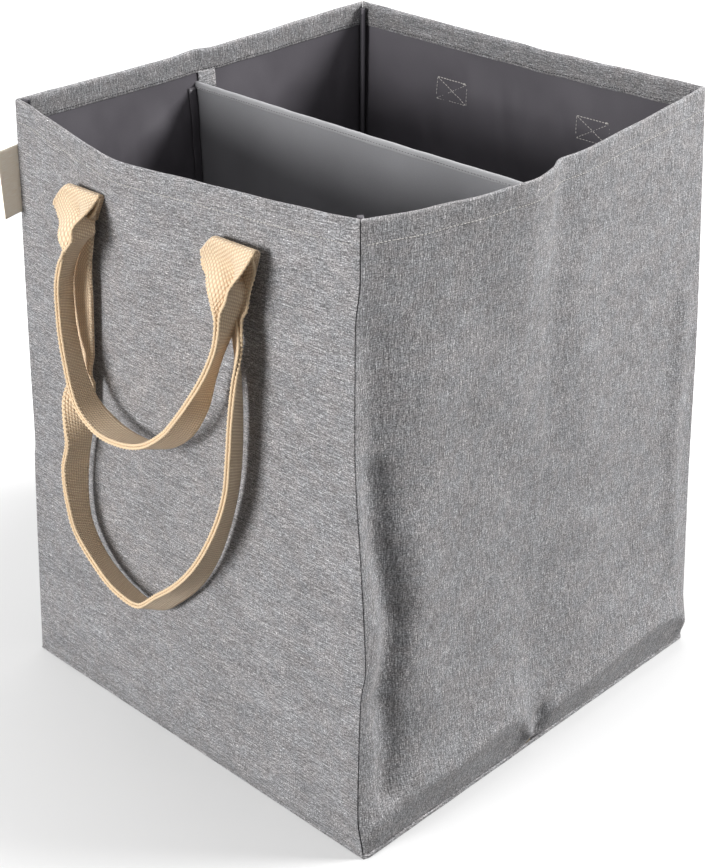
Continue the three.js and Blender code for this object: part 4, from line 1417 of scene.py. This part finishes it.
def webbing_finish():
    """Cotton webbing: columns of bumps, each column half a bump further than the last."""
    finish, tree, shader = new_material("cotton_webbing", 0.88, sheen=0.25)
    across, along = cloth_map(tree)
    column = calc(tree, "DIVIDE", across, WEB_COLUMN)
    inside = calc(tree, "FRACT", column)
    odd = calc(tree, "MODULO", calc(tree, "FLOOR", column), 2.0)
    turns = calc(tree, "ADD", calc(tree, "DIVIDE", along, WEB_BUMP), calc(tree, "MULTIPLY", odd, 0.5))
    turns = calc(tree, "ADD", turns, swing(tree, inside, 0.35))
    ridge = mapped(tree, calc(tree, "SINE", calc(tree, "MULTIPLY", turns, 2 * math.pi)), -1.0, 1.0)
    rounded = calc(tree, "POWER", calc(tree, "SINE", calc(tree, "MULTIPLY", inside, math.pi)), 0.45)
    height = calc(tree, "MULTIPLY", calc(tree, "ADD", calc(tree, "MULTIPLY", ridge, 0.65), 0.35), rounded)
    place = join_place(tree, across, along, 0.2)
    fuzz = noise_value(tree, place, 2100.0, 2.0)
    wear = noise_value(tree, place, 45.0, 3.0)
    tone = calc(tree, "ADD", calc(tree, "MULTIPLY", height, 0.95), calc(tree, "MULTIPLY", fuzz, 0.35))
    # The colour follows the weave's height: the gaps between the bumps are painted shade and the bumps are
    # painted light.
    deep = blend_colour(tree, wear, srgb(180, 136, 98), srgb(196, 154, 116))
    lit = blend_colour(tree, wear, srgb(255, 228, 192), srgb(255, 238, 208))
    dress(tree, shader, blend_colour(tree, tone, deep, lit), tone, 0.8, 0.0012)
    return finish


webbing = webbing_finish()
selvedge_finish = thread_finish("webbing_selvedge", srgb(250, 222, 184), 0.85)
print("finishes:", len(bpy.data.materials))

# %% [markdown]
# ### The loops
#
# A loop hangs from a crease just under the rim. There the webbing is flat, and within a few centimetres it
# folds in half along its middle, with the fold against the wall and both selvedges outwards. Each station
# of a loop has six shares. The first three say where that fold is: along the wall, down and out. The next
# two say how far the outer and the inner part have folded up. The last says how far the fold lies from the
# middle towards the inner edge. Between the stations everything is a smooth curve. The fold itself turns
# through a small arc, so that the two parts lie side by side.

# %% Stations of the loops
WEBBING_HALF = 25 * MM
WEBBING_THICKNESS = 1.8 * MM
HANDLE_HALF_SPACING = 77 * MM
SHORT_DROP = 181 * MM
LONG_DROP = 334 * MM
LAYER_PITCH = WEBBING_THICKNESS + LAYER_GAP
SEWN_STACK = 0.5 * MM + 2 * LAYER_PITCH
SHORT_LOOP_SHARES = [
    (-0.98, 0, 0.012, 0, 0, 0), (-0.88, 0.039, 0.04, 0.03, 0.2, 0), (-0.72, 0.077, 0.1, 0.16, 0.4, 0),
    (-0.66, 0.116, 0.17, 0.4, 0.46, 0), (-0.77, 0.16, 0.23, 0.53, 0.44, 0),
    (-0.935, 0.232, 0.28, 0.6, 0.4, 0), (-1.12, 0.365, 0.3, 0.64, 0.36, 0),
    (-1.19, 0.547, 0.3, 0.65, 0.35, 0), (-1.158, 0.702, 0.3, 0.64, 0.36, 0),
    (-1.085, 0.818, 0.3, 0.62, 0.38, 0), (-0.93, 0.92, 0.3, 0.58, 0.42, 0),
    (-0.62, 0.98, 0.28, 0.53, 0.47, 0), (-0.25, 1, 0.28, 0.56, 0.44, 0),
    (0.1, 0.985, 0.28, 0.61, 0.39, 0), (0.46, 0.884, 0.28, 0.62, 0.38, 0),
    (0.72, 0.724, 0.28, 0.56, 0.44, 0), (0.86, 0.558, 0.28, 0.43, 0.57, 0),
    (1.015, 0.41, 0.3, 0.38, 0.62, 0), (1.13, 0.32, 0.3, 0.4, 0.6, 0), (1.2, 0.26, 0.28, 0.44, 0.55, 0),
    (1.25, 0.2, 0.23, 0.48, 0.47, 0), (1.27, 0.144, 0.16, 0.44, 0.32, 0),
    (1.2, 0.094, 0.1, 0.34, 0.14, 0), (1.11, 0.044, 0.04, 0.16, 0.03, 0), (1.065, 0, 0.012, 0, 0, 0),
]
LONG_LOOP_SHARES = [
    (-0.688, 0, 0.012, 0, 0, 0.9), (-0.7, 0.03, 0.012, 0, 0.4, 0.8), (-0.715, 0.047, 0.012, 0, 0.7, 0.72),
    (-0.735, 0.065, 0.012, 0, 0.96, 0.62), (-0.8, 0.11, 0.012, 0, 1, 0.34),
    (-0.88, 0.165, 0.012, 0, 1, 0), (-0.95, 0.25, 0, 0, 1, 0), (-1.03, 0.37, 0, 0, 1, 0),
    (-1.11, 0.49, 0, 0, 1, 0), (-1.13, 0.52, 0.01, 0.14, 0.86, 0), (-1.16, 0.55, 0.02, 0.3, 0.7, 0),
    (-1.24, 0.61, 0.04, 0.48, 0.52, 0), (-1.36, 0.71, 0.04, 0.49, 0.51, 0),
    (-1.41, 0.79, 0.04, 0.56, 0.44, 0), (-1.37, 0.88, 0.04, 0.62, 0.38, 0),
    (-1.12, 0.955, 0.04, 0.66, 0.34, 0), (-0.72, 1, 0.04, 0.64, 0.36, 0),
    (-0.25, 1.01, 0.04, 0.65, 0.35, 0), (0.1, 0.95, 0.04, 0.66, 0.34, 0), (0.42, 0.87, 0.04, 0.6, 0.4, 0),
    (0.7, 0.76, 0.04, 0.5, 0.5, 0), (0.88, 0.65, 0.04, 0.42, 0.58, 0), (1, 0.54, 0.04, 0.37, 0.63, 0),
    (1.05, 0.45, 0.05, 0.36, 0.64, 0), (1.07, 0.37, 0.05, 0.34, 0.66, 0),
    (1.07, 0.27, 0.05, 0.27, 0.73, 0), (1.03, 0.19, 0.04, 0.16, 0.84, 0),
    (0.93, 0.13, 0.03, 0.08, 0.92, 0.25), (0.85, 0.07, 0.02, 0.03, 0.93, 0.55),
    (0.82, 0.05, 0.015, 0.01, 0.7, 0.68), (0.795, 0.03, 0.012, 0, 0.4, 0.78),
    (0.773, 0, 0.012, 0, 0, 0.9),
]
hinges = {joint["name"]: joint for joint in frame["joints"]}
print("hinges:", list(hinges))


# %% Smooth path of a loop
def hinge_point(wall_name, place):
    """The point of a wall's fold line at a place along the wall."""
    joint = hinges[f"{wall_name}_long_handle_swing"]
    axis = Vector(joint["axis"])
    axis *= math.copysign(1, axis.dot(walls[wall_name]["along"]))
    return Vector(joint["pos_m"]) + axis * place


FOLD_Z = hinges["front_long_handle_swing"]["pos_m"][2]


def wall_out(wall_name, place, z):
    """How far a wall's outside stands from the hamper's axis."""
    wall = walls[wall_name]
    return wall_point(wall_name, place / half_length(wall, z), z, 0).dot(wall["out"])


def smooth_rows(rows, drop, step):
    """Rows of a table with smooth rows between them, about a step apart along the loop."""
    lengths_to = [0.0]
    for start, end in zip(rows, rows[1:]):
        aside, down = (end[0] - start[0]) * HANDLE_HALF_SPACING, (end[1] - start[1]) * drop
        lengths_to.append(lengths_to[-1] + math.hypot(aside, down))

    def slopes(k):
        before, after = max(k - 1, 0), min(k + 1, len(rows) - 1)
        spans = [lengths_to[k] - lengths_to[before], lengths_to[after] - lengths_to[k]]
        rises = [[(b - a) / span if span else None for a, b in zip(rows[i], rows[j])]
                 for i, j, span in ((before, k, spans[0]), (k, after, spans[1]))]
        if not spans[0] or not spans[1]:
            return rises[0] if spans[0] else rises[1]
        return [(first * spans[1] + second * spans[0]) / sum(spans) for first, second in zip(*rises)]

    smooth = []
    for k in range(len(rows) - 1):
        span = lengths_to[k + 1] - lengths_to[k]
        leave, arrive = slopes(k), slopes(k + 1)
        count = max(1, round(span / step))
        for n in range(count):
            t = n / count
            h = (2 * t ** 3 - 3 * t * t + 1, (t ** 3 - 2 * t * t + t) * span, 3 * t * t - 2 * t ** 3,
                 (t ** 3 - t * t) * span)
            smooth.append([h[0] * a + h[1] * c + h[2] * b + h[3] * d
                           for a, b, c, d in zip(rows[k], rows[k + 1], leave, arrive)])
    return smooth + [list(rows[-1])]


def eased(value, low, high):
    """0 below low, 1 above high, and a smooth rise between."""
    share = min(max((value - low) / (high - low), 0), 1)
    return share * share * (3 - 2 * share)


# %% Section of folded webbing
FOLD_ARC = 3.6 * MM
SHORT_HALF = 2.4 * MM
WEB_COLUMNS = 40
WEB_FINE = 6


def folded_section(outer, inner, crease):
    """Places across the webbing from selvedge to selvedge, as (into the loop, away from the wall)."""
    overlap = max(outer + inner, 1)
    outer, inner = max(outer / overlap, 0), max(inner / overlap, 0)
    short = max((1 - crease) * WEBBING_HALF, SHORT_HALF)
    stride = 2 * WEBBING_HALF / (WEB_COLUMNS * WEB_FINE)
    run = short - 2 * WEBBING_HALF
    into, away, places = 0.0, 0.0, [(0.0, 0.0)]
    origin = (0.0, 0.0)
    for k in range(WEB_COLUMNS * WEB_FINE):
        bent = min(max((run + stride / 2 + FOLD_ARC / 2) / FOLD_ARC, 0), 1)
        angle = math.pi * ((outer + inner) * bent - outer)
        if run <= 0 < run + stride:
            origin = (into, away)
        into += stride * math.cos(angle)
        away += stride * math.sin(angle)
        run += stride
        if k % WEB_FINE == WEB_FINE - 1:
            places.append((into, away))
    lowest = min(a for _, a in places)
    return [(i - origin[0], a - lowest) for i, a in places]


print("points across the webbing:", len(folded_section(0, 0, 0)))

# %% [markdown]
# ### From the crease to the wall
#
# At its crease the webbing rolls over from its sewn end. The creases of the left and the right leg have
# their own middles. The left corner of each crease droops: from a start, over a reach, by a depth and with
# a power. A loop's last two shares say down to where its legs hang upright, and from where they follow
# their path freely.

# %% A hanging loop
LOOP_STEP = 3 * MM
UP = Vector((0, 0, 1))
CREST_STEPS = 6
CREST_TO_WALL = 12 * MM
CREST_CENTRES = {-1: -75.5 * MM, 1: 82 * MM}
CREST_DROOPS = {-1: (9 * MM, 16 * MM, 15 * MM, 1.5), 1: (14 * MM, 11 * MM, 11 * MM, 1.3)}
DROOP_REACH = 45 * MM
WEB_PLACES = [between(-WEBBING_HALF, WEBBING_HALF, k / WEB_COLUMNS) for k in range(WEB_COLUMNS + 1)]
LOOPS = {
    "long_handle": (LONG_LOOP_SHARES, LONG_DROP, 0, (0.11, 0.175)),
    "short_handle": (SHORT_LOOP_SHARES, SHORT_DROP, 1, (0.17, 0.36)),
}


def crest_droop(side, across):
    """How far the crest's left corner droops, at a place across the webbing measured from its middle."""
    start, reach, depth, power = CREST_DROOPS[side]
    return depth * (max(-across - start, 0) / reach) ** power


def crest_point(wall_name, place, side, across, radius, turn):
    """A point of the roll over the fold line, turned from the wall's side over the top."""
    up_and_out = walls[wall_name]["out"] * (-radius * math.cos(turn)) + UP * (radius * math.sin(turn))
    return hinge_point(wall_name, place) - UP * crest_droop(side, across) + up_and_out


def loop_stations(wall_name, loop_name):
    """For each station of a loop, the points across the webbing, on its middle plane."""
    wall = walls[wall_name]
    shares, drop, layer, (upright_to, free_from) = LOOPS[loop_name]
    rows = smooth_rows(shares, drop, LOOP_STEP)
    radius = WEBBING_THICKNESS / 2 + LAYER_GAP + layer * LAYER_PITCH
    spines = []
    for along, down, out, outer, inner, _ in rows:
        place, z = along * HANDLE_HALF_SPACING, FOLD_Z - max(down, 0) * drop
        reach = max(1 - 2 * min(outer, inner), 0) * WEBBING_HALF
        on_wall = max(wall_out(wall_name, at, z) for at in (place - reach, place, place + reach)) + SEWN_STACK
        on_line = hinge_point(wall_name, place).dot(wall["out"])
        clear = between(on_line, on_wall, eased(down * drop, 0, CREST_TO_WALL))
        away = out * WEBBING_HALF + layer * LAYER_PITCH + WEBBING_THICKNESS / 2
        spines.append(wall["along"] * place + wall["out"] * (clear + away) + UP * z)
    stations = []
    for k, (along, down, _, outer, inner, crease) in enumerate(rows):
        way = spines[min(k + 1, len(rows) - 1)] - spines[max(k - 1, 0)]
        way -= wall["out"] * way.dot(wall["out"])
        way.normalize()
        side = 1 if k > len(rows) / 2 else -1
        way = (UP * side).lerp(way, eased(down, upright_to, free_from)).normalized()
        into_loop = wall["out"].cross(way)
        held = max(1 - max(down, 0) * drop / DROOP_REACH, 0)
        row = []
        for across, (into, away) in zip(WEB_PLACES, folded_section(outer, inner, crease)):
            droop = crest_droop(side, -side * across) * held
            row.append(spines[k] + into_loop * into + wall["out"] * away - UP * droop)
        stations.append(row)
    for end, side in ((stations[0], -1), (stations[-1], 1)):
        crest = [
            [crest_point(wall_name, point.dot(wall["along"]), side, -side * across, radius, turn)
             for point, across in zip(end, WEB_PLACES)]
            for turn in (math.pi / 2 * (1 + n / CREST_STEPS) for n in range(CREST_STEPS + 1))
        ]
        stations = crest[:-1] + stations if side < 0 else stations + crest[-2::-1]
    return stations


def webbing_sheet(name, stations):
    """A strip of webbing through stations, with its map: across the webbing, and along it."""
    middle = len(stations[0]) // 2
    run = [0.0]
    for start, end in zip(stations, stations[1:]):
        run.append(run[-1] + (end[middle] - start[middle]).length)
    mesh = sheet_grid(len(stations), len(stations[0]), lambda i, j: (stations[i][j], (WEB_PLACES[j], run[i])))
    piece = link_mesh(name, mesh, webbing)
    thicken(piece, WEBBING_THICKNESS, inwards=False)
    return piece, run[-1]


loop_pieces = {}
for wall_name in ("front", "back"):
    for loop_name in LOOPS:
        stations = loop_stations(wall_name, loop_name)
        piece, length = webbing_sheet(f"{wall_name}_{loop_name}_webbing", stations)
        join_frame(piece, "webbing", f"{wall_name}_{loop_name}", body=f"{wall_name}_{loop_name}")
        loop_pieces[wall_name, loop_name] = (piece, stations, length)
        print(piece.name, "is", round(length * 1000), "mm long,", len(piece.data.polygons), "faces")


# %% Sewn ends
END_LENGTH = 20 * MM
END_GAP = 0.5 * MM
END_STEP = 3 * MM
END_TAPER = (5 * MM, 12 * MM)


def sewn_end(wall_name, handle, side, layer):
    """The end of a handle's webbing, flat on the wall, that rolls over into the crest."""
    wall = walls[wall_name]
    radius = WEBBING_THICKNESS / 2 + LAYER_GAP + (1 - layer) * LAYER_PITCH
    centre = CREST_CENTRES[side]
    places = [centre + across for across in WEB_PLACES]
    foot = FOLD_Z - END_LENGTH
    stations = []
    for z in steps(foot, FOLD_Z, END_STEP):
        share = (z - foot) / END_LENGTH
        first, last = places[0] + END_TAPER[0] * (1 - share), places[-1] - END_TAPER[1] * (1 - share)
        row = []
        for k, full_place in enumerate(places):
            place = between(first, last, k / (len(places) - 1))
            on_wall = wall_out(wall_name, place, foot) + END_GAP + layer * LAYER_PITCH + WEBBING_THICKNESS / 2
            on_fold = hinge_point(wall_name, place).dot(wall["out"]) - radius
            rise = z - crest_droop(side, full_place - centre) * share
            row.append(wall["along"] * place + wall["out"] * between(on_wall, on_fold, share) + UP * rise)
        stations.append(row)
    for n in range(1, CREST_STEPS + 1):
        turn = math.pi / 2 * n / CREST_STEPS
        stations.append([crest_point(wall_name, at, side, at - centre, radius, turn) for at in places])
    side_name = "left" if side < 0 else "right"
    piece, length = webbing_sheet(f"{wall_name}_{handle}_sewn_end_{side_name}", stations)
    join_frame(piece, "webbing", f"{wall_name}_{handle}_end_{side_name}")
    return piece.name, length


sewn_lengths = dict(
    sewn_end(wall_name, handle, side, layer)
    for wall_name in ("front", "back") for side in (-1, 1)
    for handle, layer in (("short_handle", 0), ("long_handle", 1))
)
print("sewn ends:", len(sewn_lengths))

# %% [markdown]
# ### Selvedges
#
# The webbing's weft turns round at each edge, so an edge is a thin beaded cord. It is a tube along the edge
# whose section grows and shrinks at every turn of the weft.

# %% Selvedges of the loops
SELVEDGE_PITCH = 3.4 * MM
SELVEDGE_SIZES = (0.575 * MM, 1.4375 * MM)
SELVEDGE_SIDES = 8
SELVEDGE_FLAT = 0.8


def resampled(points, step):
    """Points an even step apart along a path."""
    out, left = [points[0]], step
    for start, end in zip(points, points[1:]):
        span = (end - start).length
        while span >= left:
            start = start.lerp(end, left / span)
            out.append(start.copy())
            span -= left
            left = step
        left -= span
    return out


def selvedge(name, stations, column, body):
    """A beaded cord along one edge of a strip of webbing."""
    inner = 1 if column == 0 else len(stations[0]) - 2
    edge = resampled([station[column] for station in stations], SELVEDGE_PITCH / 2)
    beside = resampled([station[inner] for station in stations], SELVEDGE_PITCH / 2)
    outs = [(point - beside[min(k, len(beside) - 1)]).normalized() for k, point in enumerate(edge)]
    spots = frame_along(edge, outs)
    piece = rolled(name, edge, lambda i: ring(spots[i], SELVEDGE_SIZES[i % 2], SELVEDGE_SIDES, SELVEDGE_FLAT),
                   selvedge_finish)
    join_frame(piece, "webbing", body=body)


for (wall_name, loop_name), (_, stations, _) in loop_pieces.items():
    loop = f"{wall_name}_{loop_name}"
    for column, edge_name in ((0, "outer"), (-1, "inner")):
        selvedge(f"{loop}_{edge_name}_selvedge", stations, column, loop)
print("selvedges:", 2 * len(loop_pieces))

# %% [markdown]
# ## Box stitches
#
# Each end of a handle is sewn through the wall with a box and a cross. On the inside only thin threads
# show, just under the hem. Each line of the box goes from one place to another, as shares of its half size,
# and has a radius and a depth that it is sunk into the lining. The last two lines are the knot at a corner.

# %% Box stitches inside
BOX_HALF = Vector((17.0, 9.5)) * MM
BOX_DEPTH = LINING_DEPTH + LINING_CLOTH
BOX_PITCH = 3.2 * MM
BOX_STITCH = 2.6 * MM
BOX_LINES = [
    ((-1, 1), (1, 1), 0.42, 0),
    ((-1, 1), (1, -1), 0.36, 0),
    ((-1, 1), (-1, -1), 0.3, 0.1),
    ((-1, -1), (1, 1), 0.3, 0.25),
    ((-1, -1), (1, -1), 0.3, 0.2),
    ((1, -1), (1, 1), 0.3, 0.25),
    ((0.7, 0.96), (1.05, 1.06), 0.85, 0),
    ((0.75, 1.04), (1.1, 0.9), 0.75, 0),
]


def box_stitch(wall_name, side):
    """One box on a wall's inside. It is seen from within, so its x runs the other way."""
    side_name = "left" if side < 0 else "right"
    node = f"{wall_name}_box_stitch_{side_name}"
    wall = walls[wall_name]
    low, high = box_of(node)
    middle_z = (low.z + high.z) / 2
    centre = side * HANDLE_HALF_SPACING
    mesh = bmesh.new()
    for start, end, radius, sunk in BOX_LINES:
        a, b = (Vector((-x * BOX_HALF.x, y * BOX_HALF.y)) for x, y in (start, end))
        length = (b - a).length

        def box_point(run):
            at = a.lerp(b, run / length)
            share, z = (centre + at.x) / half_length(wall, middle_z), middle_z + at.y
            return wall_point(wall_name, share, z, BOX_DEPTH - sunk * MM + lining_wave(wall_name, share, z))

        stitch_row(mesh, box_point, length, -wall["out"], radius * MM, BOX_PITCH, BOX_STITCH)
    sew(f"{wall_name}_inner_box_stitch_{side_name}", mesh, light_thread, node)


for wall_name in ("front", "back"):
    for side in (-1, 1):
        box_stitch(wall_name, side)
print("box stitches: 4")

# %% [markdown]
# ## Flat sizes
#
# The loops below only work out each wall's width and far corner, each bin floor's box and each loop's name.
# Nothing more is done with them.


for name, wall in walls.items():
    width = 2 * half_length(wall, HEIGHT / 2)
    corner = wall["ends"][1]
for bin_floor, bin_name in zip(bin_floors, BINS):
    low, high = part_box(f"lining_base_{bin_name}")
for (wall_name, loop_name), (piece, _, length) in loop_pieces.items():
    loop = f"{wall_name}_{loop_name}"
